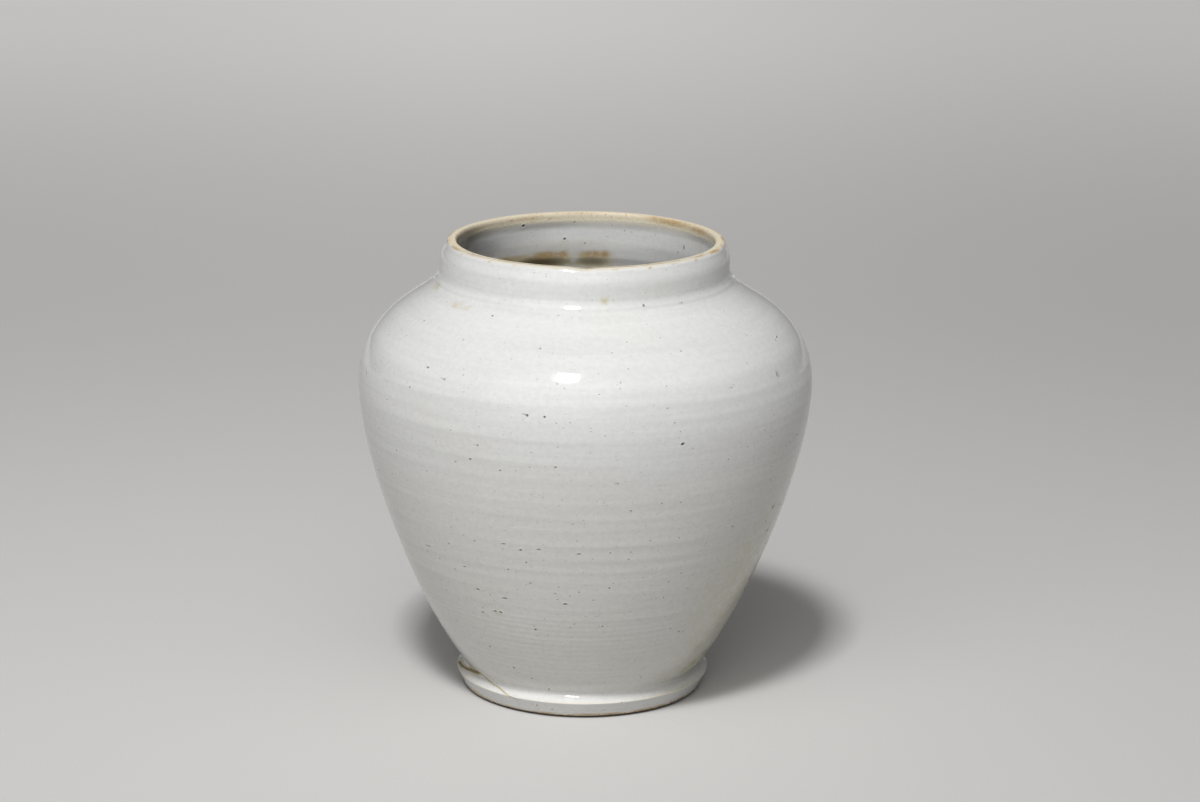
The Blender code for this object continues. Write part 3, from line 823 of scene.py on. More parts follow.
def surface(shape, underside=None):
    """Moves the vertices of a spun member to the real, uneven surface and writes its masks."""
    mask_layers = {name: shape.verts.layers.float.new(name) for name in ATTRIBUTES}
    layers = {name: shape.verts.layers.float[name] for name in LAYERS}
    verts = list(shape.verts)
    places = np.array([vert.co for vert in verts])
    side, face_out, face_up = (np.array([vert[layers[name]] for vert in verts]) for name in LAYERS)
    bearing = np.arctan2(places[:, 0], -places[:, 1])
    height = places[:, 2]
    around = np.column_stack([np.sin(bearing), -np.cos(bearing), np.zeros(len(verts))])
    face = around * face_out[:, None] + np.array([0, 0, 1.0]) * face_up[:, None]
    outer, inner = np.clip(side, 0, 1), np.clip(-side, 0, 1)

    hole_depth, hole_dark = marked(places, HOLES, HOLE_DEPTH, HOLE_DARKNESS)
    tear_depth, tear_dark = marked(places, DRAGS, TEAR_DEPTH, TEAR_DARKNESS, tilt=TEAR_TILT)
    speck_depth, speck_dark = marked(places, SPECKS, SPECK_DEPTH, SPECK_DARKNESS)
    gap = crack_gap(places, 3 * MM)
    crevice = 1 - eased(bearing, *CREVICE_FADE)
    groove = -(CRACK_DEPTH + CREVICE_DEPTH * crevice)
    groove = groove * hump(gap, CRACK_WIDTH + CREVICE_WIDTH * crevice)
    bare = wiped(bearing, height, np.hypot(places[:, 0], places[:, 1]), side)
    burnt_edge = (side > 0) * hump(bare, BURNT_EDGE_WIDTH)
    burnt_edge = burnt_edge * np.clip(0.55 + 0.8 * drift(bearing, 0 * height, 43, 30, 1), 0, 1)
    # Painted shade inside: the throat and below it, and the left of the wall under the rim.
    grey = THROAT_PAINTED_SHADE * (1 - eased(height, *THROAT_FADE))
    inside_shade = np.maximum(patches(places, INSIDE_PAINTED_SHADE, INSIDE, INSIDE_FACING), grey)
    # Painted shade: the bevel is darkened as the gap under the foot.
    on_bevel = eased(height, *BEVEL_FADE) * (height < FOOT_BEVEL_HEIGHT + 0.3 * MM)
    bevel_painted_shade = BEVEL_PAINTED_SHADE * on_bevel * (side > 0)
    crevice_dark = CREVICE_IRON * crevice * hump(gap, CREVICE_IRON_WIDTH)
    crevice_stain = CREVICE_STAIN * crevice * hump(gap, CREVICE_STAIN_WIDTH)

    skin = outside_relief(bearing, height) + shape_of_nib(places)
    move = outer * (skin + hole_depth + tear_depth + groove)
    move += inner * (inside_relief(bearing, height) + speck_depth)
    move *= np.where(np.abs(face_out) < LEVEL_FACE, 0, 1)
    moved = places + face * move[:, None]
    moved[:, 2] += shape_of_lip(places, bearing)
    if underside is not None:
        moved += underside(places, bearing, side, face_up)
    moved[:, 0] += lean_at(moved[:, 2])
    for vert, place in zip(verts, moved):
        vert.co = place

    # The first mask darkens with iron at pits, tears, specks and the crevice, and with painted shade at
    # the bevel under the foot, the hollow over the foot and inside the throat.
    masks = {
        "iron_and_shade": outer * np.maximum.reduce([hole_dark, tear_dark, crevice_dark, bevel_painted_shade])
        + inner * np.maximum(speck_dark, inside_shade)
        + outer * cove_painted_shade(bearing, height),
        "rust": np.maximum.reduce([
            inner * patches(places, STREAKS, INSIDE, INSIDE_FACING),
            outer * patches(places, LIP_SPECKS, OUTSIDE, OUTSIDE_FACING), burnt_edge,
        ]),
        "gold": outer * hump(gap, GOLD_WIDTH) * (1 - eased(bearing, *GOLD_FADE)),
        # Stains outside and inside, some of them partly painted shade.
        "stain_and_shade": np.maximum(
            outer * (patches(places, STAINS_AND_SHADE, OUTSIDE, OUTSIDE_FACING) + crevice_stain),
            # Deep brown inside: partly stain, partly painted shade under the shoulder.
            inner * patches(places, BROWN_STAIN_AND_SHADE, INSIDE, INSIDE_FACING),
        ),
        "thin": thin_glaze(bearing, height, side),
        "wiped": bare,
    }
    for name, layer in mask_layers.items():
        for vert, value in zip(verts, masks[name]):
            vert[layer] = value


# %% [markdown]
# ## Glaze
#
# Porcelain glaze is clear glass over a white body. Where it pools it looks cool and blue, where it
# lies thin it takes the warmth of the clay. It is nearly mirror smooth, with a faint ripple, and
# full of fine grey flecks. One shader makes it: a diffuse base under a clear, glossy surface. The
# effects that all four members share are node groups, each with its own named inputs, and the
# members set their own values.

# %% Helpers for node trees
def feed(tree, socket, value):
    """Links a socket or sets its value."""
    if isinstance(value, bpy.types.NodeSocket):
        tree.links.new(value, socket)
    else:
        socket.default_value = value


def maths(tree, operation, first, second=0.0, third=None, clamp=False):
    """The result of one sum on values or sockets."""
    node = tree.nodes.new("ShaderNodeMath")
    node.operation = operation
    node.use_clamp = clamp
    feed(tree, node.inputs[0], first)
    feed(tree, node.inputs[1], second)
    if third is not None:
        feed(tree, node.inputs[2], third)
    return node.outputs[0]


def smooth_range(tree, value, low, high, start=0.0, end=1.0):
    """A value carried smoothly from one range to another."""
    node = tree.nodes.new("ShaderNodeMapRange")
    node.interpolation_type = "SMOOTHSTEP"
    names = ("Value", "From Min", "From Max", "To Min", "To Max")
    for name, number in zip(names, (value, low, high, start, end)):
        feed(tree, node.inputs[name], number)
    return node.outputs["Result"]


def colour_mix(tree, share, low, high, blend="MIX"):
    """A share of the second colour laid over the first."""
    node = tree.nodes.new("ShaderNodeMix")
    node.data_type = "RGBA"
    node.blend_type = blend
    feed(tree, node.inputs["Factor"], share)
    feed(tree, node.inputs[6], low)
    feed(tree, node.inputs[7], high)
    return node.outputs[2]


def object_place(tree, scale=(1, 1, 1)):
    """Object coordinates, stretched by a scale."""
    place = tree.nodes.new("ShaderNodeTexCoord")
    mapping = tree.nodes.new("ShaderNodeMapping")
    mapping.inputs["Scale"].default_value = scale
    tree.links.new(place.outputs["Object"], mapping.inputs["Vector"])
    return mapping.outputs["Vector"]


def cloud(tree, scale, detail=2.0, roughness=0.5, squeeze=(1, 1, 1)):
    """Soft random values of about 0 to 1, in clouds that are squeezed along each axis."""
    node = tree.nodes.new("ShaderNodeTexNoise")
    feed(tree, node.inputs["Vector"], object_place(tree, squeeze))
    feed(tree, node.inputs["Scale"], scale)
    feed(tree, node.inputs["Detail"], detail)
    feed(tree, node.inputs["Roughness"], roughness)
    return node.outputs["Fac"]


def smooth_grey(tree, value):
    """A value spread from dark to light as a grey."""
    node = tree.nodes.new("ShaderNodeCombineColor")
    spread = smooth_range(tree, value, 0.3, 0.7)
    for name in ("Red", "Green", "Blue"):
        tree.links.new(spread, node.inputs[name])
    return node.outputs["Color"]


def new_group(name, inputs, outputs):
    """An empty node group with named inputs, each with its usual value, and named outputs."""
    tree = bpy.data.node_groups.new(name, "ShaderNodeTree")
    for label, usual in inputs.items():
        kind = "NodeSocketColor" if isinstance(usual, tuple) else "NodeSocketFloat"
        socket = tree.interface.new_socket(label, in_out="INPUT", socket_type=kind)
        socket.default_value = usual
    for label, kind in outputs.items():
        tree.interface.new_socket(label, in_out="OUTPUT", socket_type=kind)
    return tree, tree.nodes.new("NodeGroupInput").outputs, tree.nodes.new("NodeGroupOutput").inputs


def place_group(tree, group, **values):
    """A group placed in a material, with its inputs fed by name; an underscore stands for a space."""
    node = tree.nodes.new("ShaderNodeGroup")
    node.node_tree = group
    for label, value in values.items():
        feed(tree, node.inputs[label.replace("_", " ")], value)
    return node.outputs


# %% [markdown]
# ### Flecks
#
# Flecks are iron and undissolved grains, each in its own place and of its own size. A Voronoi
# pattern gives every cell one centre and one random colour: the colour decides whether the cell
# has a fleck and how large it is, and the distance to the centre draws it. The cells are a little
# flatter than wide, as the wheel draws a grain out sideways.

# %% Node group: flecks
FLECK_SQUEEZE = (1, 1, 1.35)


def make_flecks():
    tree, given, made = new_group(
        "flecks",
        {"Spacing": 3 * MM, "Share": 0.3, "Size": 0.2},
        {"Mask": "NodeSocketFloat"},
    )
    cells = tree.nodes.new("ShaderNodeTexVoronoi")
    tree.links.new(object_place(tree, FLECK_SQUEEZE), cells.inputs["Vector"])
    feed(tree, cells.inputs["Scale"], maths(tree, "DIVIDE", 1.0, given["Spacing"]))
    random_parts = tree.nodes.new("ShaderNodeSeparateColor")
    tree.links.new(cells.outputs["Color"], random_parts.inputs["Color"])
    taken = maths(tree, "LESS_THAN", random_parts.outputs["Red"], given["Share"])
    spread = maths(tree, "MULTIPLY_ADD", random_parts.outputs["Green"], 0.5, 0.6)
    size = maths(tree, "MULTIPLY", spread, given["Size"])
    inner = maths(tree, "MULTIPLY", size, 0.45)
    dot = smooth_range(tree, cells.outputs["Distance"], inner, size, 1.0, 0.0)
    strength = maths(tree, "MULTIPLY_ADD", random_parts.outputs["Blue"], 0.7, 0.3)
    mask = maths(tree, "MULTIPLY", maths(tree, "MULTIPLY", dot, taken), strength)
    tree.links.new(mask, made["Mask"])
    return tree


# %% [markdown]
# ### Lines of the wheel
#
# Between the ridges that are modelled, the glaze follows much finer lines. A cloud pattern that
# is squeezed along the axis and stretched round it gives such lines, which fade in and out. They
# are too fine for the mesh, so they are a bump.

# %% Node group: wheel lines
LINE_SQUEEZE = (18, 18, 620)
WIDE_LINE_SQUEEZE = (9, 9, 210)
LINE_HEIGHT = 0.016 * MM
RIPPLE_SCALE = 330.0
RIPPLE_HEIGHT = 0.010 * MM
SWELL_SCALE = 75.0
SWELL_HEIGHT = 0.05 * MM


def make_wheel_lines():
    tree, given, made = new_group(
        "wheel_lines",
        {"Fine": 1.0, "Ripple": 1.0},
        {"Height": "NodeSocketFloat", "Streak": "NodeSocketFloat"},
    )
    lines = cloud(tree, 1.0, 2.0, 0.55, LINE_SQUEEZE)
    wide_lines = cloud(tree, 1.0, 1.0, squeeze=WIDE_LINE_SQUEEZE)
    ripple = cloud(tree, RIPPLE_SCALE, 1.0)
    swell = cloud(tree, SWELL_SCALE, 1.0, squeeze=(1, 1, 1.6))
    height = maths(tree, "MULTIPLY", lines, maths(tree, "MULTIPLY", given["Fine"], LINE_HEIGHT))
    for pattern, rise in ((ripple, RIPPLE_HEIGHT), (swell, SWELL_HEIGHT)):
        rise = maths(tree, "MULTIPLY", given["Ripple"], rise)
        height = maths(tree, "MULTIPLY_ADD", pattern, rise, height)
    tree.links.new(height, made["Height"])
    streak = maths(tree, "MULTIPLY_ADD", lines, 0.5, maths(tree, "MULTIPLY", wide_lines, 0.5))
    tree.links.new(streak, made["Streak"])
    return tree


# %% [markdown]
# ### Bare clay
#
# Unglazed porcelain turns cream, and orange to brown where flame and ash reached it. It is matt
# and finely grained. A painted picture could carry the patches, but it would have to be unwrapped
# on to the jar. A cloud pattern needs no unwrapping, and how much of it is toasted is one input.

# %% Node group: bare clay
PALE_CLAY = (0.86, 0.77, 0.59, 1)
TOASTED_CLAY = (0.56, 0.34, 0.14, 1)
PATCH_SCALE = 520.0
GRAIN_SCALE = 1900.0
GRAIN_HEIGHT = 0.05 * MM


def make_bare_clay():
    tree, given, made = new_group(
        "bare_clay",
        {"Pale": PALE_CLAY, "Toasted": TOASTED_CLAY, "Toasting": 0.5},
        {"Color": "NodeSocketColor", "Height": "NodeSocketFloat"},
    )
    patchy = cloud(tree, PATCH_SCALE, 4.0, 0.65)
    low = maths(tree, "SUBTRACT", 0.78, maths(tree, "MULTIPLY", given["Toasting"], 0.4))
    burnt = smooth_range(tree, patchy, low, maths(tree, "ADD", low, 0.22))
    grain = cloud(tree, GRAIN_SCALE, 3.0, 0.6)
    colour = colour_mix(tree, burnt, given["Pale"], given["Toasted"])
    grained = colour_mix(tree, 0.16, colour, smooth_grey(tree, grain), "MULTIPLY")
    tree.links.new(grained, made["Color"])
    tree.links.new(maths(tree, "MULTIPLY", grain, GRAIN_HEIGHT), made["Height"])
    return tree


# %% [markdown]
# ### Colour of the glaze
#
# The glaze's own colour drifts between a cool and a warm white in clouds a few centimetres wide, with
# paler and darker streaks along the wheel lines. Then what lies in or under the glaze is laid over that
# colour: the clay that shows through thin glaze, the stains, some of which are partly painted shade, and
# the flecks. Each is a mix by its own mask, so that one can be changed without the others.

# %% Node group: glaze colour
COOL_GLAZE = (0.82, 0.825, 0.82, 1)
WARM_GLAZE = (0.795, 0.78, 0.725, 1)
THIN_GLAZE = (0.78, 0.66, 0.40, 1)
TEA_STAIN = (0.60, 0.53, 0.31, 1)
# Deep brown of strong stains, and of painted shade under the throat's streak.
DEEP_STAIN_AND_SHADE = (0.13, 0.10, 0.05, 1)
FLECK_GREY = (0.30, 0.29, 0.24, 1)
CLOUD_SCALE = 24.0
MOTTLE_SCALE = 420.0
MOTTLE_SHARE = 0.11
STAIN_SCALE = 260.0


def make_glaze_colour():
    tree, given, made = new_group(
        "glaze_colour",
        {
            "Cool": COOL_GLAZE, "Warm": WARM_GLAZE, "Warmth": 0.3, "Streak": 0.5, "Fleck": 0.0,
            "Thin": 0.0, "Stain": 0.0,
        },
        {"Color": "NodeSocketColor"},
    )
    clouds = cloud(tree, CLOUD_SCALE, 3.0, squeeze=(1, 1, 1.5))
    lowest = maths(tree, "SUBTRACT", given["Warmth"], 0.3)
    warm = maths(tree, "MULTIPLY_ADD", clouds, 0.6, lowest, clamp=True)
    colour = colour_mix(tree, warm, given["Cool"], given["Warm"])
    mottle = cloud(tree, MOTTLE_SCALE, 3.0, 0.65, (1, 1, 1.2))
    streak = maths(tree, "MULTIPLY_ADD", given["Streak"], 0.5, maths(tree, "MULTIPLY", mottle, 0.5))
    colour = colour_mix(tree, MOTTLE_SHARE, colour, smooth_grey(tree, streak), "MULTIPLY")
    colour = colour_mix(tree, maths(tree, "MULTIPLY", given["Thin"], 0.6), colour, THIN_GLAZE)
    cloudy = cloud(tree, STAIN_SCALE, 4.0, 0.65)
    cloudy = smooth_range(tree, cloudy, 0.3, 0.62, 0.25, 1.0)
    stain_and_shade = maths(tree, "MULTIPLY", given["Stain"], cloudy, clamp=True)
    colour = colour_mix(tree, maths(tree, "MULTIPLY", stain_and_shade, 0.8), colour, TEA_STAIN)
    deep = maths(tree, "SUBTRACT", given["Stain"], 1.0, clamp=True)
    colour = colour_mix(tree, deep, colour, DEEP_STAIN_AND_SHADE)
    colour = colour_mix(tree, maths(tree, "MULTIPLY", given["Fleck"], 0.8), colour, FLECK_GREY)
    tree.links.new(colour, made["Color"])
    return tree


# %% [markdown]
# ### Marks over glaze and clay
#
# Rust, the old dirt in the crack, and the near black of iron and of painted shade lie on the bare clay
# as well as on the glaze. They could be mixed into both colours, but one group that is laid over both
# keeps them alike. A cloud pattern breaks up the rust, which is never even.

# %% Node group: marks over glaze and clay
RUST = (0.50, 0.345, 0.16, 1)
GOLDEN_DIRT = (0.46, 0.35, 0.13, 1)
# Near black of iron specks and also of painted shade.
IRON_AND_SHADE_BLACK = (0.025, 0.022, 0.017, 1)
MARK_STRENGTH = 0.95


def make_marks():
    tree, given, made = new_group(
        "marks",
        {"Under": (0.8, 0.8, 0.8, 1), "Rust": 0.0, "Gold": 0.0, "Iron": 0.0},
        {"Color": "NodeSocketColor"},
    )
    broken = cloud(tree, MOTTLE_SCALE, 4.0, 0.7, (1, 1, 1.6))
    broken = smooth_range(tree, broken, 0.3, 0.55, 0.5, 1.0)
    rust = maths(tree, "MULTIPLY", maths(tree, "MULTIPLY", given["Rust"], broken), MARK_STRENGTH)
    colour = colour_mix(tree, rust, given["Under"], RUST)
    gold = maths(tree, "MULTIPLY", given["Gold"], MARK_STRENGTH)
    colour = colour_mix(tree, gold, colour, GOLDEN_DIRT)
    # The Iron input carries iron and painted shade alike.
    colour = colour_mix(tree, given["Iron"], colour, IRON_AND_SHADE_BLACK)
    tree.links.new(colour, made["Color"])
    return tree


# %% Build the shared groups
FLECKS = make_flecks()
WHEEL_LINES = make_wheel_lines()
BARE_CLAY = make_bare_clay()
GLAZE_COLOUR = make_glaze_colour()
MARKS = make_marks()
print("node groups", [group.name for group in (FLECKS, WHEEL_LINES, BARE_CLAY, GLAZE_COLOUR, MARKS)])

# %% [markdown]
# ## One material for each member
#
# The border between glaze and bare clay is drawn here: the distance that the mesh carries is
# roughened with a cloud pattern and cut off sharply. The glaze is smooth and a little raised, and
# the clay rough. Low on the jar the glaze is warmer and the flecks are denser. There are three
# kinds of flecks, each with a spacing, a size as a share of it, and a strength.

# %% A glazed member's material
GLAZE_ROUGHNESS = 0.065
CLAY_ROUGHNESS = 0.82
EDGE_RAGGEDNESS = 1.3
EDGE_SCALE = 700.0
GLAZE_STEP = 0.12 * MM
COOL_HEIGHT = 170 * MM
WARM_HEIGHT = 30 * MM
FLECK_KINDS = ((2 * MM, 0.27, 0.35), (3 * MM, 0.19, 0.8), (6 * MM, 0.10, 1.5))


def mesh_value(tree, name):
    """A number that the mesh carries at each place."""
    node = tree.nodes.new("ShaderNodeAttribute")
    node.attribute_name = name
    return node.outputs["Fac"]


def glazed(name, warmth, flecks_more, toasting):
    """Material of one member: its glaze, its flecks and marks, and its bare clay."""
    material = bpy.data.materials.new(name)
    material.use_nodes = True
    tree = material.node_tree
    shader = tree.nodes["Principled BSDF"]
    parts = tree.nodes.new("ShaderNodeSeparateXYZ")
    tree.links.new(object_place(tree), parts.inputs["Vector"])
    low = smooth_range(tree, parts.outputs["Z"], COOL_HEIGHT, WARM_HEIGHT)
    lines = place_group(tree, WHEEL_LINES, Fine=maths(tree, "MULTIPLY_ADD", low, 0.5, 0.6), Ripple=1.0)
    share = maths(tree, "MULTIPLY_ADD", low, 0.3, flecks_more)
    fleck = 0.0
    for spacing, size, strength in FLECK_KINDS:
        kind = place_group(tree, FLECKS, Spacing=spacing, Share=share, Size=size)
        fleck = maths(tree, "MULTIPLY_ADD", kind["Mask"], strength, fleck, clamp=True)
    colour = place_group(
        tree, GLAZE_COLOUR, Warmth=maths(tree, "MULTIPLY_ADD", low, 0.6, warmth), Streak=lines["Streak"],
        Fleck=fleck, Thin=mesh_value(tree, "thin"), Stain=mesh_value(tree, "stain_and_shade"),
    )
    clay = place_group(tree, BARE_CLAY, Toasting=toasting)
    ragged = maths(tree, "SUBTRACT", cloud(tree, EDGE_SCALE, 3.0, 0.6), 0.5)
    distance = maths(tree, "MULTIPLY_ADD", ragged, EDGE_RAGGEDNESS, mesh_value(tree, "wiped"))
    bare = smooth_range(tree, distance, -0.12, 0.16)
    surface_colour = colour_mix(tree, bare, colour["Color"], clay["Color"])
    rust, gold, iron_and_shade = (mesh_value(tree, mask) for mask in ("rust", "gold", "iron_and_shade"))
    marks = place_group(tree, MARKS, Under=surface_colour, Rust=rust, Gold=gold, Iron=iron_and_shade)
    feed(tree, shader.inputs["Base Color"], marks["Color"])
    roughness = smooth_range(tree, bare, 0.0, 1.0, GLAZE_ROUGHNESS, CLAY_ROUGHNESS)
    feed(tree, shader.inputs["Roughness"], roughness)
    height = maths(tree, "MULTIPLY_ADD", bare, -GLAZE_STEP, lines["Height"])
    height = maths(tree, "MULTIPLY_ADD", clay["Height"], bare, height)
    bump = tree.nodes.new("ShaderNodeBump")
    bump.inputs["Strength"].default_value = 1.0
    bump.inputs["Distance"].default_value = 1.0
    feed(tree, bump.inputs["Height"], height)
    feed(tree, shader.inputs["Normal"], bump.outputs["Normal"])
    return material


# %% [markdown]
# ### The four finishes
#
# The members share one recipe and differ a little, as read off the photograph: the foot's glaze is
# cooler, its bare clay more toasted, and the bowl has the most flecks. Each finish is its own material
# with three numbers: the warmth of the glaze, the share of flecks and the toasting.

# %% The four finishes
def foot_finish():
    return glazed("foot_finish", -0.3, 0.30, 0.9)


def bowl_finish():
    return glazed("bowl_finish", 0.10, 0.38, 0.5)


def shoulder_finish():
    return glazed("shoulder_finish", 0.10, 0.30, 0.5)


def neck_finish():
    return glazed("neck_finish", 0.10, 0.30, 0.6)


# %% [markdown]
# ## The foot ring
#
# The foot is a turned ring. Its side widens upwards to a sharp edge, and a slope runs from there up to
# the waist. A small bevel lifts the side off the ground, and it is painted near black as the shade in
# the gap under the foot. The flat ring inside the bevel, on which the jar stands, is bare clay. It could
# be modelled with the bowl, but on the real jar it is a member of its own with its own seam, and the CAD
# model keeps it apart too.

# %% Section of the foot ring
BEVEL_ANGLES = (math.radians(16), math.radians(24))


def foot_section():
    ground_edge = (FOOT_STAND_RADIUS - FOOT_BEVEL_WIDTH, 0.0)
    bore_edge = (FOOT_BORE_RADIUS + FOOT_CHAMFER, 0.0)
    side_edge = (FOOT_STAND_RADIUS, FOOT_BEVEL_HEIGHT)
    bore_top = (FOOT_BORE_TOP_RADIUS, FLOOR_RECESS)
    bevel = sweep(ground_edge, BEVEL_ANGLES[0], side_edge, BEVEL_ANGLES[1], steps=6)
    seam = [(FOOT_LAP_RADIUS, WAIST_SEAM), (FOOT_LAP_RADIUS, FLOOR_RECESS), bore_top]
    bore = evenly([bore_top, (FOOT_BORE_RADIUS, FOOT_CHAMFER)], LIP_ROW * 2)
    return [
        *flat(evenly([bore_edge, ground_edge], LIP_ROW * 2), 1.0, -1.0),
        *flat(bevel[1:-1], 1.0, -1.0),
        *stretch(part_of(OUTSIDE, FOOT_BEVEL_HEIGHT, WAIST_SEAM, LIP_ROW), 1.0),
        *stretch(seam, 0),
        *flat(bore[1:], -1.0, 0.0),
    ]


# %% Relief of the ground face
GROUND_WEAR = 0.05 * MM
WEAR_WIDTH = 9 * MM


def ground_relief(places, bearing, side, face_up):
    """Grit and wear that roughen the ring where it stands, upwards only."""
    moved = np.zeros_like(places)
    on_ground = (face_up < -0.9) & (side > 0) & (places[:, 2] < 0.05 * MM)
    rough = drift(bearing, places[:, 0] * 0.6 + places[:, 1] * 0.8, 61, 12, WEAR_WIDTH)
    moved[:, 2] = on_ground * GROUND_WEAR * (1 + np.clip(rough, -1, 1))
    return moved


# %% [markdown]
# ## The bowl, the shoulder and the neck
#
# The bowl carries the jar's floor, and its top edge stands inside the shoulder half as a tongue.
# The neck sits in a ledge of the shoulder. Fired slip fills these seams, so each pair of members
# meets in the middle of the slip, and only a crease or a ring shows on the outside. The three
# could be spun as one mesh, but each stands for a member of its own in the CAD model. The stepped
# seams are that model's guess at usual practice, because the photograph can't show them.

# %% Sections of the bowl, shoulder and neck
def lap_radius():
    """Radius at which the belly's stepped seam turns upwards, in the middle of the wall."""
    seam = BELLY_SEAM - SLIP_GAP / 2
    outside = np.interp(seam, OUTSIDE[:, 1], OUTSIDE[:, 0])
    inside = np.interp(seam, INSIDE[:, 1], INSIDE[:, 0])
    return (outside + inside) / 2


def bowl_section():
    wall = part_of(INSIDE, FLOOR_TOP, BELLY_LAP_TOP, INNER_ROW)[::-1]
    floor = evenly([(FLOOR_FLAT_RADIUS, FLOOR_TOP), (0, FLOOR_TOP - FLOOR_DISH)], INNER_ROW)
    base = evenly([(0, FLOOR_RECESS), (FOOT_BORE_TOP_RADIUS, FLOOR_RECESS)], 2 * MM)
    middle = lap_radius()
    return [
        *flat(base, 1.0, -1.0),
        *stretch([(FOOT_LAP_RADIUS, FLOOR_RECESS), (FOOT_LAP_RADIUS, WAIST_SEAM)], 0),
        *stretch(part_of(OUTSIDE, WAIST_SEAM, BELLY_SEAM, OUTER_ROW), 1.0),
        *stretch([(middle, BELLY_SEAM), (middle, BELLY_LAP_TOP)], 0),
        *stretch(wall, -1.0),
        *flat(floor[1:], -1.0, 1.0),
    ]


def shoulder_section():
    middle = lap_radius()
    return [
        *stretch(part_of(OUTSIDE, BELLY_SEAM, CREASE_SEAM, OUTER_ROW), 1.0),
        *stretch([(NECK_LAP_RADIUS, CREASE_SEAM), (NECK_LAP_RADIUS, THROAT_SEAM)], 0),
        *stretch(part_of(INSIDE, THROAT_FLARE, THROAT_SEAM, LIP_ROW * 2)[::-1], -1.0),
        *stretch(part_of(INSIDE, BELLY_LAP_TOP, THROAT_FLARE, INNER_ROW * 0.6)[::-1][1:], -1.0),
        *stretch([(middle, BELLY_LAP_TOP), (middle, BELLY_SEAM)], 0),
    ]


def neck_section():
    land = evenly([(LAND[1], HEIGHT), (LAND[0], HEIGHT)], LIP_ROW)
    return [
        *stretch([(NECK_LAP_RADIUS, THROAT_SEAM), (NECK_LAP_RADIUS, CREASE_SEAM)], 0),
        *stretch(part_of(OUTSIDE, CREASE_SEAM, HEIGHT, LIP_ROW * 1.4), 1.0),
        *flat(land[1:-1], 1.0, 1.0),
        *stretch(part_of(INSIDE, THROAT_SEAM, HEIGHT, LIP_ROW * 1.6)[::-1], -1.0),
    ]


# %% Relief of the base and of the floor inside
BASE_SPIRAL = (5.5 * MM, 0.12 * MM)
FLOOR_SPIRAL = (7 * MM, 0.2 * MM)
MIDDLE_FADE = (2 * MM, 8 * MM)
RIM_FADE = (43 * MM, 47 * MM)


def base_relief(places, bearing, side, face_up):
    """Shallow turning spiral under the jar, cut upwards into the base, and one on the floor inside."""
    moved = np.zeros_like(places)
    radius = np.hypot(places[:, 0], places[:, 1])
    under = (face_up < -0.9) & (side > 0)
    spiral = np.cos(2 * math.pi * radius / BASE_SPIRAL[0] + bearing)
    fade = eased(radius, *MIDDLE_FADE) * (1 - eased(radius, *RIM_FADE))
    moved[:, 2] = under * fade * BASE_SPIRAL[1] * (1 + spiral)
    inside = (face_up > 0.9) & (side < 0)
    whorl = np.cos(2 * math.pi * radius / FLOOR_SPIRAL[0] - bearing)
    moved[:, 2] += inside * eased(radius, *MIDDLE_FADE) * FLOOR_SPIRAL[1] * whorl
    return moved


# %% Build the four members
def place_object(shape, name, material):
    """An object in the scene, made from a bmesh, with one material."""
    mesh = bpy.data.meshes.new(name)
    shape.to_mesh(mesh)
    shape.free()
    mesh.materials.append(material)
    placed = bpy.data.objects.new(name, mesh)
    bpy.context.scene.collection.objects.link(placed)
    return placed


def member(name, section, closed, finish, node, relief=None):
    """One member of the jar, from its section to its finish, standing for its CAD node."""
    shape = spin(section, closed)
    cut_finer(shape)
    surface(shape, relief)
    for layer_name in LAYERS:
        shape.verts.layers.float.remove(shape.verts.layers.float[layer_name])
    piece = place_object(shape, name, finish)
    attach(piece, "root")
    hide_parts(node)
    triangles = sum(len(polygon.vertices) - 2 for polygon in piece.data.polygons)
    print(f"{name}: {len(piece.data.vertices)} vertices, {triangles} triangles")


member("turned_foot", foot_section(), True, foot_finish(), "foot_ring", ground_relief)
member("thrown_bowl", bowl_section(), False, bowl_finish(), "lower_body", base_relief)
member("thrown_shoulder", shoulder_section(), True, shoulder_finish(), "upper_body")
member("thrown_neck", neck_section(), True, neck_finish(), "neck_collar")

# %% [markdown]
# ## Floor
#
# The jar stands on a large sheet of pale grey paper. In the photograph the paper is darker in a band
# behind the jar and at both sides. Lamps could make those bands, but they would light the jar too, so
# the colour of the floor carries them, by its place. With its full colour the sheet threw more light up
# on to the jar than the photograph shows. So only the camera and the shining glaze see the full colour,
# and the light that the paper scatters is dimmed. No real paper does that: it is a correction.

# %% Paper floor
FLOOR_HALF = 9.0
# The bands darker behind the jar, lighter further back, dark at the far end, greyer at the sides and
# darker on the right are painted light and shade.
PAPER = (0.69, 0.68, 0.668, 1)
PAPER_BEHIND = (0.535, 0.53, 0.52, 1)
PAPER_FAR = (0.82, 0.81, 0.795, 1)
PAPER_END = (0.32, 0.32, 0.32, 1)
BEHIND_REACH = (-0.15, 0.8)
FAR_REACH = (0.8, 2.4)
END_REACH = (2.6, 4.0)
SIDE_GREY = (0.3, 0.3, 0.3, 1)
SIDE_REACH = (0.05, 0.55)
SIDE_SHARE = 0.12
RIGHT_REACH = (-0.2, 0.4)
RIGHT_SHARE = 0.09
PAPER_GRAIN = 0.03
PAPER_BOUNCE = 0.68
BLACK = (0, 0, 0, 1)


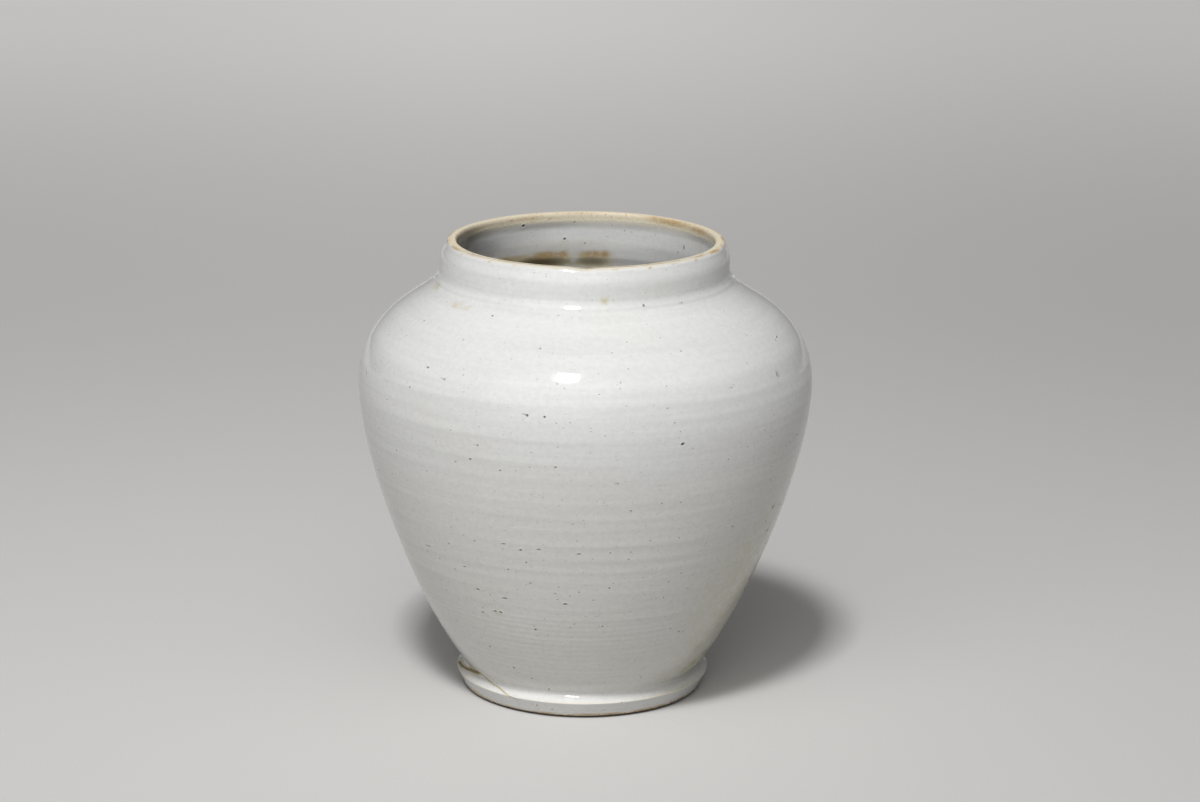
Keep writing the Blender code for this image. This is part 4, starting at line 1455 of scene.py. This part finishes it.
def paper():
    """Material of the paper: its bands of painted light and shade by place, and a dimmer colour for the
    light it scatters.
    """
    material = bpy.data.materials.new("grey_paper")
    material.use_nodes = True
    tree = material.node_tree
    shader = tree.nodes["Principled BSDF"]
    shader.inputs["Roughness"].default_value = 0.95
    shader.inputs["Specular IOR Level"].default_value = 0.1
    parts = tree.nodes.new("ShaderNodeSeparateXYZ")
    tree.links.new(object_place(tree), parts.inputs["Vector"])
    colour = PAPER
    bands = ((BEHIND_REACH, PAPER_BEHIND), (FAR_REACH, PAPER_FAR), (END_REACH, PAPER_END))
    for reach, shade in bands:
        colour = colour_mix(tree, smooth_range(tree, parts.outputs["Y"], *reach), colour, shade)
    sideways = smooth_range(tree, maths(tree, "ABSOLUTE", parts.outputs["X"]), *SIDE_REACH)
    colour = colour_mix(tree, maths(tree, "MULTIPLY", sideways, SIDE_SHARE), colour, SIDE_GREY)
    right = smooth_range(tree, parts.outputs["X"], *RIGHT_REACH, 0.0, RIGHT_SHARE)
    colour = colour_mix(tree, right, colour, BLACK)
    grain = cloud(tree, 900.0, 3.0, 0.6)
    colour = colour_mix(tree, PAPER_GRAIN, colour, smooth_grey(tree, grain), "MULTIPLY")
    rays = tree.nodes.new("ShaderNodeLightPath").outputs
    seen = maths(tree, "ADD", rays["Is Camera Ray"], rays["Is Glossy Ray"])
    seen = maths(tree, "ADD", seen, rays["Is Transmission Ray"], clamp=True)
    dimmed = colour_mix(tree, 1 - PAPER_BOUNCE, colour, BLACK)
    feed(tree, shader.inputs["Base Color"], colour_mix(tree, seen, dimmed, colour))
    return material


sheet = bmesh.new()
bmesh.ops.create_grid(sheet, x_segments=8, y_segments=8, size=FLOOR_HALF)
place_object(sheet, "paper_floor", paper())
print(f"paper {2 * FLOOR_HALF:.0f} m wide")

# %% [markdown]
# ## Light
#
# One soft lamp stands high in front, a little to the left. Its size sets the soft edge of the shadow and
# the bright block on the shoulder. The rest of the light is soft, as from the walls and ceiling of a
# white room, and was matched in three glows: a broad, low glow from the front left, a small one high on
# the right and a faint one from behind the jar. More lamps would each show as a second bright block in
# the glaze, so the glows are soft patches of the world. Each is given by its direction, in degrees, by
# the angles from it at which it is full and gone, and by its strength.

# %% Lamp
LAMP_DISTANCE = 12.0
LAMP_HEIGHT_ANGLE = math.radians(58.5)
LAMP_SIDE_ANGLE = math.radians(-13.5)
LAMP_WIDTH = 1.6
LAMP_TALL = 1.9
LAMP_POWER = 885
AIM = Vector((0, 0, 0.1))


def towards(side_angle, height_angle):
    """Direction from the jar, by the angle to the side of the viewer and the angle upwards."""
    reach = math.cos(height_angle)
    return Vector((math.sin(side_angle) * reach, -math.cos(side_angle) * reach, math.sin(height_angle)))


def hang_lamp():
    data = bpy.data.lights.new("soft_lamp", "AREA")
    data.shape = "RECTANGLE"
    data.size = LAMP_WIDTH
    data.size_y = LAMP_TALL
    data.energy = LAMP_POWER
    lamp = bpy.data.objects.new("soft_lamp", data)
    away = towards(LAMP_SIDE_ANGLE, LAMP_HEIGHT_ANGLE)
    lamp.location = AIM + away * LAMP_DISTANCE
    lamp.rotation_euler = away.to_track_quat("Z", "Y").to_euler()
    bpy.context.scene.collection.objects.link(lamp)


# %% Room
GLOWS = (
    {"side": -18, "up": 36, "full": 6, "gone": 44, "strength": 1.36},
    {"side": 45, "up": 62, "full": 5, "gone": 45, "strength": 0.46},
    {"side": 180, "up": 30, "full": 10, "gone": 60, "strength": 0.16},
)
ROOM_TINT = (1.0, 0.995, 0.985, 1)


def light_room():
    world = bpy.data.worlds.new("room")
    world.use_nodes = True
    tree = world.node_tree
    place = tree.nodes.new("ShaderNodeTexCoord")
    total = 0.0
    for glow in GLOWS:
        facing_it = tree.nodes.new("ShaderNodeVectorMath")
        facing_it.operation = "DOT_PRODUCT"
        tree.links.new(place.outputs["Generated"], facing_it.inputs[0])
        facing_it.inputs[1].default_value = towards(math.radians(glow["side"]), math.radians(glow["up"]))
        gone, full = (math.cos(math.radians(glow[name])) for name in ("gone", "full"))
        level = smooth_range(tree, facing_it.outputs["Value"], gone, full, 0.0, glow["strength"])
        total = maths(tree, "ADD", level, total)
    back = tree.nodes["Background"]
    back.inputs["Color"].default_value = ROOM_TINT
    feed(tree, back.inputs["Strength"], total)
    bpy.context.scene.world = world


hang_lamp()
light_room()
bpy.context.scene.view_settings.view_transform = "Standard"
print(f"lamp of {LAMP_POWER} W, {LAMP_DISTANCE:.0f} m away, and {len(GLOWS)} glows of the room")

# %% [markdown]
# ## Camera
#
# A camera fitted to the ellipses of the rim and the foot stands 1.6 m in front of the jar with a
# long lens, a little above it, and is turned by half a degree. A nearer camera with a shorter lens
# would make the two ellipses differ more than they do in the photograph.

# %% Camera
LENS = 105.96
CAMERA_PLACE = (0.0071, -1.6022, 0.5545)
CAMERA_DOWN = math.radians(14.60)
CAMERA_ROLL = math.radians(0.47)


def set_camera():
    data = bpy.data.cameras.new("camera")
    data.lens = LENS
    data.sensor_width = 36.0
    data.clip_end = 60
    camera = bpy.data.objects.new("camera", data)
    tilt = Euler((math.radians(90) - CAMERA_DOWN, 0, 0)).to_matrix().to_4x4()
    camera.matrix_world = Matrix.Translation(CAMERA_PLACE) @ tilt @ Matrix.Rotation(CAMERA_ROLL, 4, "Z")
    bpy.context.scene.collection.objects.link(camera)
    bpy.context.scene.camera = camera


set_camera()
print(f"lens {LENS:.1f} mm, camera {-CAMERA_PLACE[1]:.2f} m in front and {CAMERA_PLACE[2]:.2f} m up")
